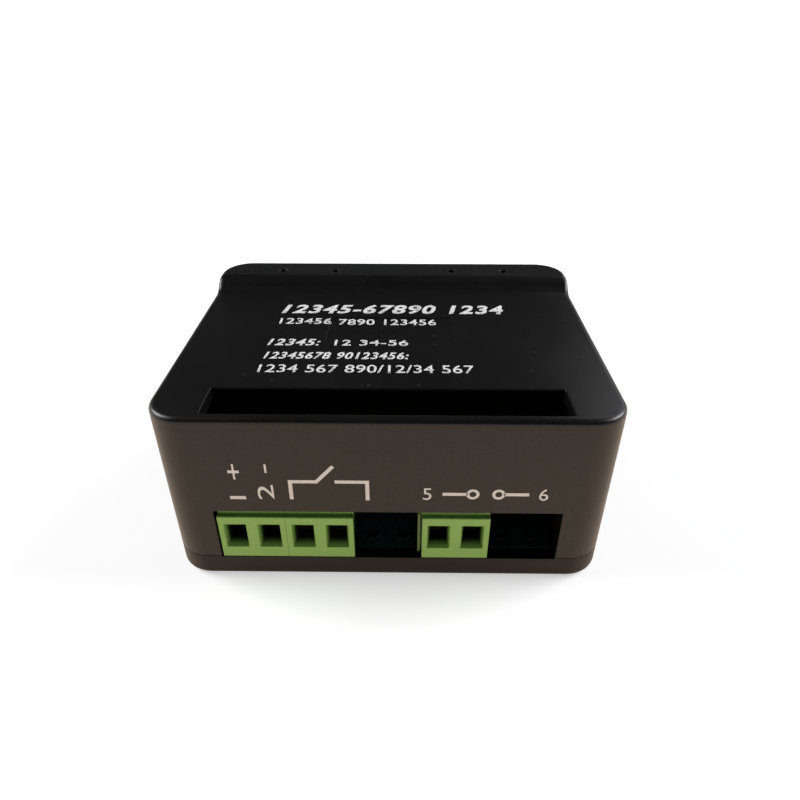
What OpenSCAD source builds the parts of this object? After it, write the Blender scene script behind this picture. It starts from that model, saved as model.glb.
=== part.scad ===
// Wireless garage door controller: a two-piece black case with a row of green screw terminals.
// Millimetres. X runs along the terminal row, Y to the back, Z up from the table.

/* [Case] */
// Depth of the case from front wall to back wall
case_d = 53; // [50:0.5:70]
// Height of the main top face above the table
case_h = 29.7; // [27:0.1:40]
// Width of the front wall on each side of the terminal window
cheek_w = 7.65; // [7.4:0.05:14]
// Thickness of the upright walls
wall = 1.5; // [1.2:0.1:2]
// Thickness of the top
roof_t = 2; // [1.5:0.1:3]
// Thickness of the floor
floor_t = 1.4; // [1.2:0.1:1.5]
// Height of the joint between base and upper housing
split_z = 4.1; // [4:0.1:6]
// Corner radius seen from above
corner_r = 5.4; // [3.2:0.1:6]
// Rounding of the top edge
edge_r = 0.8; // [0.4:0.1:1.2]
// Rounding of the bottom edge
foot_r = 1; // [0.5:0.1:1.4]
// Height of the lip that locates the upper housing on the base
lip_h = 1.3; // [0.8:0.1:2.5]
// Thickness of that lip
lip_t = 1; // [0.8:0.1:1.4]

/* [Ridge] */
// Rise of the rear ridge above the main top face
ridge_rise = 1.95; // [1:0.05:4]
// Depth of the flat on top of the ridge
ridge_flat = 6.6; // [5:0.1:12]
// Length of the curved step up to the ridge
ridge_run = 5; // [4.2:0.1:9]
// Radius of the dimples in the ridge
dimple_r = 0.8; // [0.5:0.05:1.2]
// Depth of the dimples
dimple_t = 0.6; // [0.3:0.05:1.2]
// Distance from the front of the ridge's flat to the dimples
dimple_y = 1.95; // [1:0.05:4]
// Distance from the middle of the ridge to the inner dimples
dimple_x = 11.3; // [6:0.1:13]
// Distance between the two dimples of a pair
dimple_pitch = 10.16; // [5:0.01:14]

/* [Window, slot and inset] */
// Side clearance between the terminal row and the window
window_gap = 0.25; // [0.15:0.05:1]
// Free height above the terminal noses inside the window
nose_gap = 1.05; // [0.6:0.05:3]
// Depth of the screwdriver slot in the top
slot_d = 6.56; // [6:0.01:9]
// Thickness of the curtain wall behind the screwdriver slot
curtain_t = 1.2; // [0.8:0.1:1.5]
// Drop of the sill below the terminals
sill_drop = 0.15; // [0.1:0.05:0.6]
// Width of the shallow inset on the top
inset_w = 21; // [10:0.5:40]
// Depth of the shallow inset on the top, front to back
inset_d = 9.1; // [6:0.1:16]
// Distance from the front wall to the inset
inset_y = 22.4; // [14:0.1:24]
// Sinking of the inset below the top face
inset_t = 0.15; // [0.05:0.05:0.6]

/* [Terminals] */
// Distance between neighbouring wire entries
pole_pitch = 5.08; // [5:0.01:5.6]
// Number of pole positions along the board
pole_count = 10; // [10:1:12]
// Depth of a terminal block
block_d = 9.6; // [9.4:0.1:11]
// Height of the front nose of a terminal block
nose_h = 8.1; // [7.8:0.1:9]
// Depth of the ledge on top of the nose
ledge_d = 0.85; // [0.4:0.05:1.2]
// Chamfer of the block's upper edges
block_chamfer = 0.8; // [0.3:0.1:1.5]
// Distance from the block's face to the screw axis
screw_back = 5.1; // [4.9:0.05:5.4]
// Width of a wire entry at the face
entry_w = 3.4; // [2.8:0.1:3.8]
// Height of a wire entry at the face
entry_h = 4.7; // [3.4:0.1:5]
// Height of the middle of a wire entry above the board
entry_z = 4.35; // [4:0.05:4.8]
// Depth of the funnel behind the face
funnel_t = 1.4; // [0.8:0.1:2]
// Width of the throat behind the funnel
throat_w = 2.5; // [2:0.1:2.6]
// Height of the throat behind the funnel
throat_h = 2.5; // [2:0.1:2.8]
// Height of the throat's floor above the board
throat_z = 2.7; // [2.4:0.1:3]
// Neck length of the side rib that locks two blocks together
rib_neck = 0.28; // [0.2:0.02:0.4]
// Head thickness of that rib
rib_head = 0.38; // [0.25:0.01:0.45]
// Width of the rib's head, front to back
rib_w = 1.8; // [1.2:0.1:2.2]
// Distance from the block's face to the rib
rib_back = 0.8; // [0.6:0.05:1.2]

/* [Clamps] */
// Travel of a rising clamp from open to shut
clamp_travel = 2.25; // [1.5:0.05:2.5]
// Width of a rising clamp
cage_w = 3.6; // [3.5:0.05:3.8]
// Depth of a rising clamp
cage_d = 3.4; // [3:0.1:3.6]
// Side wall of a rising clamp
cage_wall = 0.55; // [0.4:0.05:0.6]
// Floor of a rising clamp
cage_floor = 0.8; // [0.5:0.1:1]
// Threaded top of a rising clamp
cage_roof = 1.1; // [0.8:0.1:1.4]
// Width of the current bar
bar_w = 1.9; // [1.4:0.1:2]
// Thickness of the current bar
bar_t = 0.8; // [0.6:0.1:0.9]
// Width of the solder pin
pin_w = 1; // [0.8:0.1:1.2]
// Length of the solder pin below the board
pin_tail = 0.7; // [0.4:0.05:0.8]
// Shaft radius of a clamp screw
screw_r = 1.25; // [1:0.05:1.3]
// Head radius of a clamp screw
head_r = 1.85; // [1.7:0.05:2]
// Head height of a clamp screw
head_h = 1.7; // [1.4:0.1:2]
// Width of the screwdriver slot in a clamp screw
drive_w = 0.6; // [0.4:0.05:0.8]
// Depth of that slot
drive_t = 0.9; // [0.6:0.05:1.1]
// Wall between the clamp's cavity and the screw's well
web_t = 0.6; // [0.5:0.1:1]
// Depth of a screw head below the top of its block
head_sink = 0.65; // [0.3:0.05:1.5]

/* [Board] */
// Thickness of the main board
board_t = 1.6; // [1.2:0.1:1.6]
// Distance from the inside of the front wall to the board
board_lead = 0.8; // [0.4:0.1:1.5]
// Distance from the inside of the back wall to the board
board_back = 3.2; // [2:0.1:5]
// Radius of the pegs that locate the board
peg_r = 1.1; // [0.8:0.05:1.3]
// Distance from the board's edge to the pegs
peg_inset = 2.3; // [2.3:0.1:2.6]
// Radius of the posts that hold the board down
post_r = 2.1; // [2:0.05:2.2]
// Radius of a hole for a solder pin
pad_hole_r = 0.75; // [0.7:0.05:1]

/* [Case screws] */
// Shaft radius of a case screw
case_screw_r = 1.25; // [1:0.05:1.4]
// Length of a case screw below its head
case_screw_l = 9; // [7:0.5:14]
// Head radius of a case screw
case_head_r = 2.2; // [2:0.1:2.4]
// Head height of a case screw
case_head_h = 1.5; // [1:0.1:1.7]
// Depth of a case screw's head below the underside
case_head_sink = 0.6; // [0.3:0.1:0.8]
// Radius of the corner pillars that take the case screws
pillar_r = 3; // [2.8:0.1:3.1]

/* [Relay] */
// Length of the relay, front to back
relay_l = 19; // [19:0.1:19.6]
// Width of the relay
relay_w = 15.4; // [15.2:0.1:16]
// Height of the relay
relay_h = 15.3; // [13:0.1:18]
// Wall of the relay's cover
relay_wall = 0.8; // [0.6:0.1:0.9]
// Thickness of the relay's base
relay_base_t = 1.6; // [1.2:0.1:1.8]
// Radius of the coil's winding
coil_r = 4.7; // [3.5:0.1:4.9]
// Free height between the relay's contacts and the roof of its cover
contact_room = 0.55; // [0.2:0.05:2]
// Radius of the iron core
core_r = 1.6; // [1.2:0.1:2]
// Thickness of the head on the iron core
pole_t = 0.55; // [0.3:0.05:0.8]
// Thickness of the yoke's iron
yoke_t = 1.2; // [0.8:0.1:1.3]
// Thickness of the armature
armature_t = 1; // [0.8:0.1:1.2]
// Air gap between pole face and armature
pole_gap = 0.4; // [0.3:0.05:0.6]

/* [Parts on the board] */
// Width of the wireless module
radio_w = 16; // [15:0.1:17]
// Length of the wireless module
radio_l = 24; // [20:0.5:25]
// Thickness of the wireless module's board
radio_t = 0.8; // [0.6:0.1:1.2]
// Height of the wireless module's shield
shield_h = 2.6; // [1.8:0.1:4]
// Length of the wireless module's shield
shield_l = 15.5; // [12:0.1:18]
// Thickness of the shield's sheet
shield_t = 0.25; // [0.15:0.05:0.4]
// Radius of the input capacitor
input_cap_r = 4; // [3.2:0.1:4.1]
// Height of the input capacitor
input_cap_h = 12; // [8:0.5:18]
// Radius of the output capacitor
output_cap_r = 3.15; // [2.5:0.05:3.3]
// Height of the output capacitor
output_cap_h = 11; // [7:0.5:18]
// Side of the power inductor
inductor_w = 7.3; // [5:0.1:7.8]
// Height of the power inductor
inductor_h = 4; // [2.5:0.1:6]
// Side of the pairing switch
switch_w = 6; // [4.5:0.1:6.2]
// Height of the pairing switch's body
switch_h = 3.5; // [3:0.1:5]
// Radius of the pairing button
button_r = 1.75; // [1.2:0.05:2]
// Height of the pairing button above its switch
button_h = 1.5; // [0.8:0.1:4]
// Travel of the pairing button
button_travel = 0.25; // [0.15:0.05:0.4]
// Radius of the status light
light_r = 1.5; // [1:0.1:1.6]
// Height of the status light
light_h = 5.2; // [3:0.1:8]

/* [Hidden] */
$fn = 48;
slide_gap = 0.15;
turn_gap = 0.06;
seat_gap = 0.05;
// Run of a cut past the face that it opens
over = 1;
row_w = pole_count * pole_pitch;
window_w = row_w + 2 * window_gap;
case_w = window_w + 2 * cheek_w;
window_h = nose_h + nose_gap;
ridge_top = case_h + ridge_rise;
front_y = -case_d / 2;
back_y = case_d / 2;
ridge_y = back_y - ridge_flat - ridge_run;
blend_r = (ridge_run * ridge_run + ridge_rise * ridge_rise) / (4 * ridge_rise);
cavity_top = case_h - roof_t;
board_top = split_z;
board_bottom = split_z - board_t;
board_w = row_w;
board_front = front_y + wall + board_lead;
board_rear = back_y - wall - board_back;
screw_y = front_y + screw_back;
block_w = 2 * pole_pitch - 2 * seat_gap;
rib_reach = rib_neck + rib_head;

// Blocks of two poles sit at these first pole positions; the other positions stay empty
block_poles = [0, 2, 6];
screw_poles = [for (p = block_poles) each [p, p + 1]];
function pole_x(p) = (p + 0.5) * pole_pitch - row_w / 2;

// Levels inside a terminal block, above the board
wire_step = 0.1;
bar_play = 0.3;
tip_gap = 0.2;
spare_travel = 0.25;
bar_z = throat_z + throat_h + wire_step;
cage_floor_z = throat_z - wire_step - cage_floor;
cage_roof_z = bar_z + bar_t + bar_play;
cage_top_z = cage_roof_z + cage_roof;
cavity_z = cage_top_z + clamp_travel + spare_travel;
well_z = cavity_z + web_t;
head_z = well_z + seat_gap;
block_h = head_z + head_h + head_sink;
foot_z = 0.4;
rib_z = 0.5;
curtain_gap = 0.5;
back_wall = 1.2;
bar_nose = 0.9;
shoulder_gap = 0.3;
shoulder_drop = 0.1;
leg_back = block_d - back_wall;
shoulder_back = wall + shoulder_gap;
shoulder_z = nose_h + nose_gap - shoulder_drop;

// Case screws and the pegs and posts that hold the board
pillar_root = 0.1;
pillar_inset = wall + pillar_r - pillar_root;
pillar_x = case_w / 2 - pillar_inset;
pillar_y = case_d / 2 - pillar_inset;
case_hole_gap = 0.2;
case_drive_l = 2.2;
case_drive_w = 0.6;
case_drive_t = 1.05;
post_gap = 0.9;
peg_gap = 0.1;
peg_rise = 1.2;
peg_socket_t = 2;
peg_x = board_w / 2 - peg_inset;
peg_front_y = front_y + block_d + post_r + post_gap;
peg_rear_y = board_rear - peg_inset;
lip_end_gap = 0.5;

// Places of the parts on the board
parts_lead = 2;
relay_lead = 0.5;
radio_side = 0.8;
radio_rear = 1;
shield_side = 1.75;
shield_lead = 1.25;
left_inset = 5.9;
can_lead = 7;
can_gap = 0.4;
inductor_gap = 0.7;
rear_gap = 5;
regulator_shift = 5;
switch_shift = 5;
switch_lead = 0.5;
isolator_shift = 1;
isolator_lead = 4;
light_inset = 3;
light_gap = 5;
relay_x = -5.5;
parts_y = front_y + block_d + parts_lead;
relay_y = parts_y + relay_lead + relay_l / 2;
radio_x = board_w / 2 - 2 * peg_inset - radio_w / 2 - radio_side;
radio_y = board_rear - radio_rear - radio_l / 2;
shield_y = radio_y - radio_l / 2 + shield_lead + shield_l / 2;
left_x = -board_w / 2 + left_inset;
input_cap_y = parts_y + can_lead;
output_cap_y = input_cap_y + input_cap_r + output_cap_r + can_gap;
inductor_y = output_cap_y + output_cap_r + inductor_w / 2 + inductor_gap;
regulator_x = relay_x - regulator_shift;
regulator_y = relay_y + relay_l / 2 + rear_gap;
switch_x = pole_x(7) + switch_shift;
switch_y = parts_y + switch_w / 2 + switch_lead;
isolator_x = pole_x(6) + isolator_shift;
isolator_y = parts_y + isolator_lead;
light_x = board_w / 2 - light_inset;
light_y = peg_front_y + post_r + light_gap;

// Sizes of the small parts
groove_r = 0.7;
groove_z = 2;
groove_out = 0.35;
chip_stand = 0.15;
lead_l = 1.1;
lead_w = 0.42;
lead_t = 0.3;
lead_out = 0.45;
regulator_w = 3.9;
regulator_l = 4.9;
regulator_h = 1.6;
isolator_w = 4.6;
isolator_l = 6.4;
isolator_h = 3.2;
diode_w = 4.3;
diode_l = 2.6;
diode_h = 2.2;
diode_stand = 0.2;
diode_span = 5.2;
diode_strap = 1.5;
diode_pitch = 3.6;
diode_lead = 2.5;
diode_shift = 2.5;
small_w = 2;
small_l = 1.25;
small_h = 0.55;
small_pitch_x = 2.5;
small_pitch_y = 2.2;
small_shift = 9;
small_lead = 4.4;
button_seat = 1;
light_rim = 0.4;
light_rim_h = 1;

// Levels inside the relay, above the board
coil_y = 1.7;
flange_out = 0.4;
flange_t = 0.7;
yoke_w = 8;
yoke_lead = 2;
yoke_gap = 0.2;
plate_reach = 5;
blade_w = 3;
blade_t = 0.3;
blade_lap = 1;
contact_r = 0.8;
contact_h = 0.3;
contact_back = 2;
contact_proud = 0.2;
contact_pin_x = 3.5;
contact_pin_back = 0.7;
coil_pin_inset = 1.6;
coil_pin_rise = 1;
pin_t = 0.5;
head_out = 1.2;
pole_rest = 0.02;
relay_top_in = relay_h - relay_wall;
yoke_z = relay_base_t + seat_gap;
coil_z = yoke_z + yoke_t + seat_gap;
closed_z = relay_top_in - contact_room - 2 * contact_h;
armature_z = closed_z - seat_gap - contact_proud - armature_t;
pole_face_z = armature_z - pole_gap;
coil_h = pole_face_z - pole_t - seat_gap - coil_z;
yoke_back = relay_l / 2 - relay_wall - yoke_gap;
pivot_y = yoke_back - yoke_t / 2;
contact_y = -relay_l / 2 + relay_wall + contact_back;
pole_r = core_r + head_out;
pull_in = asin((pole_gap - pole_rest) / (pivot_y - coil_y + pole_r));
contact_drop = sin(pull_in) * (pivot_y - contact_y + contact_r) + seat_gap;
coil_pin_x = relay_w / 2 - coil_pin_inset;
contact_pin_y = -relay_l / 2 + relay_wall + contact_pin_back;

// Rectangle with round corners, centred
module round_rect(w, d, r) {
    square([w - 2 * r, d], center = true);
    square([w, d - 2 * r], center = true);
    for (x = [-1, 1], y = [-1, 1])
        translate([x * (w / 2 - r), y * (d / 2 - r)])
            circle(r);
}

// Upright strip whose outer top corner is round
module edge_strip(reach, h, e) {
    square([reach, h - e]);
    square([reach - e, h]);
    translate([reach - e, h - e])
        circle(e);
}

// Block with round corners in plan and a round top edge, centred in X and Y
module soft_block(w, d, h, r, e) {
    for (mx = [0, 1], my = [0, 1])
        mirror([mx, 0, 0])
            mirror([0, my, 0])
                translate([w / 2 - r, d / 2 - r, 0])
                    rotate_extrude(angle = 90)
                        edge_strip(r, h, e);
    for (mx = [0, 1])
        mirror([mx, 0, 0])
            translate([w / 2 - r, d / 2 - r, 0])
                rotate([90, 0, 0])
                    linear_extrude(d - 2 * r)
                        edge_strip(r, h, e);
    for (my = [0, 1])
        mirror([0, my, 0])
            translate([r - w / 2, d / 2 - r, 0])
                rotate([90, 0, 90])
                    linear_extrude(w - 2 * r)
                        edge_strip(r, h, e);
    translate([r - w / 2, r - d / 2, 0])
        cube([w - 2 * r, d - 2 * r, h]);
}

// Box centred in X and Y, standing on z
module post_box(w, d, z0, z1) {
    translate([-w / 2, -d / 2, z0])
        cube([w, d, z1 - z0]);
}

// Side view of everything behind the foot of the ridge: flat, concave, convex, flat
module ridge_side() {
    mid_y = ridge_y + ridge_run / 2;
    flat_y = ridge_y + ridge_run;
    translate([ridge_y, 0])
        square([back_y - ridge_y, case_h]);
    difference() {
        translate([ridge_y, case_h])
            square([ridge_run / 2, ridge_rise / 2]);
        translate([ridge_y, case_h + blend_r])
            circle(blend_r, $fn = 96);
    }
    intersection() {
        translate([mid_y, case_h])
            square([ridge_run / 2, ridge_rise]);
        translate([flat_y, ridge_top - blend_r])
            circle(blend_r, $fn = 96);
    }
    translate([flat_y, case_h])
        square([back_y - flat_y, ridge_rise]);
}

// Outer form of the closed case
module case_form() {
    intersection() {
        soft_block(case_w, case_d, case_h, corner_r, edge_r);
        translate([-case_w / 2, front_y, 0])
            cube([case_w, ridge_y - front_y, case_h]);
    }
    intersection() {
        soft_block(case_w, case_d, ridge_top, corner_r, edge_r);
        translate([-case_w / 2, 0, 0])
            rotate([90, 0, 90])
                linear_extrude(case_w)
                    ridge_side();
    }
}

// Cuts in the top: screwdriver slot, shallow inset and the four dimples
module top_cuts() {
    translate([-row_w / 2, front_y + wall, cavity_top - over])
        cube([row_w, slot_d, roof_t + 2 * over]);
    translate([-inset_w / 2, front_y + inset_y, case_h - inset_t])
        cube([inset_w, inset_d, 2 * inset_t]);
    for (s = [-1, 1], n = [0, 1])
        translate([s * (dimple_x + n * dimple_pitch), back_y - ridge_flat + dimple_y, ridge_top - dimple_t])
            cylinder(h = 2 * dimple_t, r = dimple_r);
}

module upper_housing() {
    color([0.1, 0.1, 0.1])
    difference() {
        union() {
            difference() {
                case_form();
                translate([-case_w, -case_d, -over])
                    cube([2 * case_w, 2 * case_d, split_z + over]);
                translate([0, 0, split_z - over])
                    linear_extrude(cavity_top - split_z + over)
                        round_rect(case_w - 2 * wall, case_d - 2 * wall, corner_r - wall);
            }
            for (x = [-1, 1], y = [-1, 1])
                translate([x * pillar_x, y * pillar_y, split_z])
                    cylinder(h = cavity_top - split_z + roof_t / 2, r = pillar_r);
            for (x = [-1, 1], y = [peg_front_y, peg_rear_y])
                translate([x * peg_x, y, board_top])
                    cylinder(h = cavity_top - board_top + roof_t / 2, r = post_r);
            translate([-row_w / 2, front_y + wall + slot_d, board_top + block_h + curtain_gap])
                cube([row_w, curtain_t, cavity_top - board_top - block_h - curtain_gap + roof_t / 2]);
        }
        top_cuts();
        translate([-window_w / 2, front_y - over, split_z - over])
            cube([window_w, wall + 2 * over, window_h + over]);
        for (x = [-1, 1], y = [-1, 1])
            translate([x * pillar_x, y * pillar_y, split_z - over])
                cylinder(h = case_screw_l + over, r = case_screw_r + seat_gap);
        for (x = [-1, 1], y = [peg_front_y, peg_rear_y])
            translate([x * peg_x, y, board_top - over])
                cylinder(h = peg_socket_t + over, r = peg_r + seat_gap);
    }
}

// Short wall that stands on the base and fits inside the upper housing
module base_lip() {
    side_x = case_w / 2 - wall - slide_gap - lip_t;
    side_l = 2 * (pillar_y - pillar_r - lip_end_gap);
    rear_l = 2 * (pillar_x - pillar_r - lip_end_gap);
    for (mx = [0, 1])
        mirror([mx, 0, 0])
            translate([side_x, -side_l / 2, floor_t / 2])
                cube([lip_t, side_l, split_z + lip_h - floor_t / 2]);
    translate([-rear_l / 2, back_y - wall - slide_gap - lip_t, floor_t / 2])
        cube([rear_l, lip_t, split_z + lip_h - floor_t / 2]);
}

module base() {
    color([0.11, 0.11, 0.11])
    difference() {
        union() {
            difference() {
                translate([0, 0, split_z])
                    mirror([0, 0, 1])
                        soft_block(case_w, case_d, split_z, corner_r, foot_r);
                translate([0, 0, floor_t])
                    linear_extrude(split_z)
                        round_rect(case_w - 2 * wall, case_d - 2 * wall, corner_r - wall);
            }
            base_lip();
            for (x = [-1, 1], y = [-1, 1])
                translate([x * pillar_x, y * pillar_y, floor_t / 2])
                    cylinder(h = split_z - floor_t / 2, r = pillar_r);
            for (x = [-1, 1], y = [peg_front_y, peg_rear_y])
                translate([x * peg_x, y, floor_t / 2]) {
                    cylinder(h = board_bottom - floor_t / 2, r = post_r);
                    cylinder(h = board_top + peg_rise - floor_t / 2, r = peg_r);
                }
        }
        translate([-window_w / 2, front_y - over, split_z - sill_drop])
            cube([window_w, wall + 2 * over, over]);
        for (x = [-1, 1], y = [-1, 1])
            translate([x * pillar_x, y * pillar_y, 0]) {
                translate([0, 0, -over])
                    cylinder(
                        h = case_head_sink + case_head_h + seat_gap + over,
                        r = case_head_r + case_hole_gap
                    );
                cylinder(h = split_z + over, r = case_screw_r + case_hole_gap);
            }
    }
}

module case_screws() {
    color([0.55, 0.56, 0.58])
    for (x = [-1, 1], y = [-1, 1])
        translate([x * pillar_x, y * pillar_y, case_head_sink])
            difference() {
                union() {
                    cylinder(h = case_head_h, r = case_head_r);
                    cylinder(h = case_head_h + case_screw_l, r = case_screw_r);
                }
                for (a = [0, 90])
                    rotate([0, 0, a])
                        post_box(case_drive_l, case_drive_w, -over, case_drive_t);
            }
}

module main_board() {
    color([0.05, 0.22, 0.14])
    difference() {
        translate([-board_w / 2, board_front, board_bottom])
            cube([board_w, board_rear - board_front, board_t]);
        for (p = [0 : pole_count - 1])
            translate([pole_x(p), screw_y, board_bottom - over])
                cylinder(h = board_t + 2 * over, r = pad_hole_r);
        for (x = [-1, 1], y = [peg_front_y, peg_rear_y])
            translate([x * peg_x, y, board_bottom - over])
                cylinder(h = board_t + 2 * over, r = peg_r + peg_gap);
        for (p = relay_pin_places())
            translate([relay_x + p[0], relay_y + p[1], board_bottom - over])
                cylinder(h = board_t + 2 * over, r = pad_hole_r);
    }
}

// Side view of a terminal block: depth from the face, height above the board
module block_side() {
    c = block_chamfer;
    polygon([
        [0, 0], [block_d, 0], [block_d, block_h - c], [block_d - c, block_h], [shoulder_back + c, block_h],
        [shoulder_back, block_h - c], [shoulder_back, shoulder_z], [ledge_d, nose_h + nose_gap / 2],
        [ledge_d, nose_h], [0, nose_h]
    ]);
}

// Plan of the locking rib, or of its groove with a clearance all round
module rib_plan(gap) {
    neck_w = rib_w - 2 * rib_head;
    translate([-rib_reach - gap, rib_back - gap])
        square([rib_head + 2 * gap, rib_w + 2 * gap]);
    translate([-rib_neck - gap, rib_back + rib_head - gap])
        square([rib_neck + 2 * gap, neck_w + 2 * gap]);
}

// Wire funnel: a plan wedge and a side wedge crossed, then the straight throat
module wire_entry() {
    intersection() {
        linear_extrude(nose_h)
            polygon([
                [-entry_w / 2, 0], [entry_w / 2, 0], [throat_w / 2, funnel_t], [-throat_w / 2, funnel_t]
            ]);
        translate([-entry_w, 0, 0])
            rotate([90, 0, 90])
                linear_extrude(2 * entry_w)
                    polygon([
                        [0, entry_z - entry_h / 2], [funnel_t, throat_z],
                        [funnel_t, throat_z + throat_h], [0, entry_z + entry_h / 2]
                    ]);
    }
    translate([-throat_w / 2, funnel_t / 2, throat_z])
        cube([throat_w, screw_back - funnel_t / 2, throat_h]);
}

// Bent strip from the current bar down to the solder pin, with a clearance for its seat
module contact_strip(gap) {
    bar_front = screw_back - cage_d / 2 - bar_nose;
    w = bar_w + 2 * gap;
    translate([-w / 2, bar_front - gap, bar_z - gap])
        cube([w, leg_back - bar_front + 2 * gap, bar_t + 2 * gap]);
    translate([-w / 2, leg_back - bar_t - gap, foot_z - gap])
        cube([w, bar_t + 2 * gap, bar_z - foot_z + bar_t]);
    translate([-w / 2, screw_back - pin_w / 2 - gap, foot_z - gap])
        cube([w, leg_back - screw_back + pin_w / 2, bar_t + 2 * gap]);
}

// Two-pole terminal block; the first block of a row has its locking rib trimmed off
module terminal_block(first_pole, has_rib) {
    color([0.45, 0.62, 0.28])
    translate([pole_x(first_pole) + pole_pitch / 2, front_y, board_top])
        difference() {
            union() {
                translate([-block_w / 2, 0, 0])
                    rotate([90, 0, 90])
                        linear_extrude(block_w)
                            block_side();
                if (has_rib)
                    translate([-block_w / 2, 0, rib_z])
                        linear_extrude(nose_h - rib_z)
                            rib_plan(0);
            }
            translate([block_w / 2, 0, -over])
                linear_extrude(nose_h + over)
                    translate([2 * seat_gap, 0])
                        rib_plan(seat_gap);
            for (s = [-1, 1])
                translate([s * pole_pitch / 2, 0, 0]) {
                    wire_entry();
                    translate([0, screw_back, 0]) {
                        post_box(cage_w + 2 * slide_gap, cage_d + 2 * slide_gap, -over, cavity_z);
                        cylinder(h = block_h, r = screw_r + turn_gap);
                        translate([0, 0, well_z])
                            cylinder(h = block_h, r = head_r + turn_gap);
                    }
                    contact_strip(seat_gap);
                    translate([-bar_w / 2 - seat_gap, screw_back, -over])
                        cube([bar_w + 2 * seat_gap, leg_back - screw_back + seat_gap, foot_z + 2 * over]);
                }
        }
}

module clamp_screw(n) {
    color([0.72, 0.73, 0.74])
    translate([pole_x(screw_poles[n]), screw_y, board_top])
        difference() {
            union() {
                translate([0, 0, head_z])
                    cylinder(h = head_h, r = head_r);
                translate([0, 0, bar_z + bar_t + tip_gap])
                    cylinder(h = head_z - bar_z - bar_t, r = screw_r);
            }
            post_box(2 * (head_r + over), drive_w, head_z + head_h - drive_t, head_z + head_h + over);
        }
}

module wire_clamp(n) {
    color([0.78, 0.74, 0.6])
    translate([pole_x(screw_poles[n]), screw_y, board_top])
        difference() {
            post_box(cage_w, cage_d, cage_floor_z, cage_top_z);
            post_box(cage_w - 2 * cage_wall, cage_d + over, cage_floor_z + cage_floor, cage_roof_z);
            translate([0, 0, cage_roof_z - over])
                cylinder(h = cage_roof + 2 * over, r = screw_r + turn_gap);
        }
}

module terminal_contacts() {
    color([0.8, 0.78, 0.7])
    for (p = screw_poles)
        translate([pole_x(p), front_y, board_top]) {
            contact_strip(0);
            translate([0, screw_back, 0])
                post_box(pin_w, pin_w * 0.8, -board_t - pin_tail, foot_z + bar_t / 2);
        }
}

// Relay pins in plan: two for the coil, one common, one normally closed, one normally open
function relay_pin_places() = [
    [-coil_pin_x, coil_y], [coil_pin_x, coil_y], [0, pivot_y],
    [-contact_pin_x, contact_pin_y], [contact_pin_x, contact_pin_y]
];

module at_relay() {
    translate([relay_x, relay_y, board_top])
        children();
}

module relay_cover() {
    color([0.1, 0.25, 0.6])
    at_relay()
        difference() {
            post_box(relay_w, relay_l, 0, relay_h);
            post_box(relay_w - 2 * relay_wall, relay_l - 2 * relay_wall, -over, relay_top_in);
        }
}

module relay_base() {
    color([0.08, 0.2, 0.5])
    at_relay()
        difference() {
            post_box(
                relay_w - 2 * relay_wall - 2 * seat_gap, relay_l - 2 * relay_wall - 2 * seat_gap,
                0, relay_base_t
            );
            for (p = relay_pin_places())
                translate([p[0], p[1], 0])
                    post_box(pin_w + 2 * seat_gap, pin_t + 2 * seat_gap, -over, relay_base_t + over);
        }
}

module relay_coil() {
    color([0.7, 0.35, 0.15])
    at_relay()
        translate([0, coil_y, coil_z])
            rotate_extrude()
                difference() {
                    square([coil_r + flange_out, coil_h]);
                    square([2 * (core_r + turn_gap), 3 * coil_h], center = true);
                    translate([coil_r, flange_t])
                        square([flange_out + over, coil_h - 2 * flange_t]);
                }
}

module relay_yoke() {
    color([0.6, 0.6, 0.62])
    at_relay() {
        yoke_front = coil_y - core_r - yoke_lead;
        translate([-yoke_w / 2, yoke_front, yoke_z])
            cube([yoke_w, yoke_back - yoke_front, yoke_t]);
        translate([-yoke_w / 2, yoke_back - yoke_t, yoke_z])
            cube([yoke_w, yoke_t, armature_z - seat_gap - yoke_z]);
        translate([0, coil_y, yoke_z]) {
            cylinder(h = pole_face_z - yoke_z, r = core_r);
            translate([0, 0, pole_face_z - pole_t - yoke_z])
                cylinder(h = pole_t, r = pole_r);
        }
    }
}

// Hinged iron plate with the moving contact on a spring blade at its front end
module relay_armature() {
    color([0.66, 0.64, 0.6])
    at_relay() {
        plate_front = coil_y - plate_reach;
        translate([-yoke_w / 2, plate_front, armature_z])
            cube([yoke_w, yoke_back - plate_front, armature_t]);
        translate([-blade_w / 2, contact_y - blade_lap, armature_z + armature_t - blade_t])
            cube([blade_w, plate_front - contact_y + 2 * blade_lap, blade_t]);
        translate([0, contact_y, armature_z])
            cylinder(h = armature_t + contact_proud, r = contact_r);
    }
}

module relay_pins() {
    color([0.8, 0.78, 0.72])
    at_relay() {
        places = relay_pin_places();
        open_z = armature_z - contact_drop;
        coil_pin_z = coil_z + coil_pin_rise;
        tops = [coil_pin_z, coil_pin_z, yoke_z - seat_gap, closed_z + 2 * contact_h, open_z - contact_h];
        for (n = [0 : 4])
            translate([places[n][0], places[n][1], 0])
                post_box(pin_w, pin_t, -board_t - pin_tail, tops[n]);
        contact_arm(places[3], closed_z + contact_h, closed_z);
        contact_arm(places[4], open_z - 2 * contact_h, open_z - contact_h);
    }
}

// Arm from a contact pin to the middle of the relay, with its contact button
module contact_arm(place, arm_z, button_z) {
    reach = abs(place[0]) + contact_r;
    start_x = place[0] < 0 ? place[0] - pin_w / 2 : -contact_r;
    translate([start_x, place[1] - pin_t / 2, arm_z])
        cube([reach + pin_w / 2, contact_y - place[1] + pin_t / 2 + contact_r, contact_h]);
    translate([0, contact_y, button_z])
        cylinder(h = contact_h, r = contact_r);
}

module radio_board() {
    color([0.06, 0.07, 0.09])
    translate([radio_x, radio_y, board_top])
        post_box(radio_w, radio_l, 0, radio_t);
}

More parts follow.
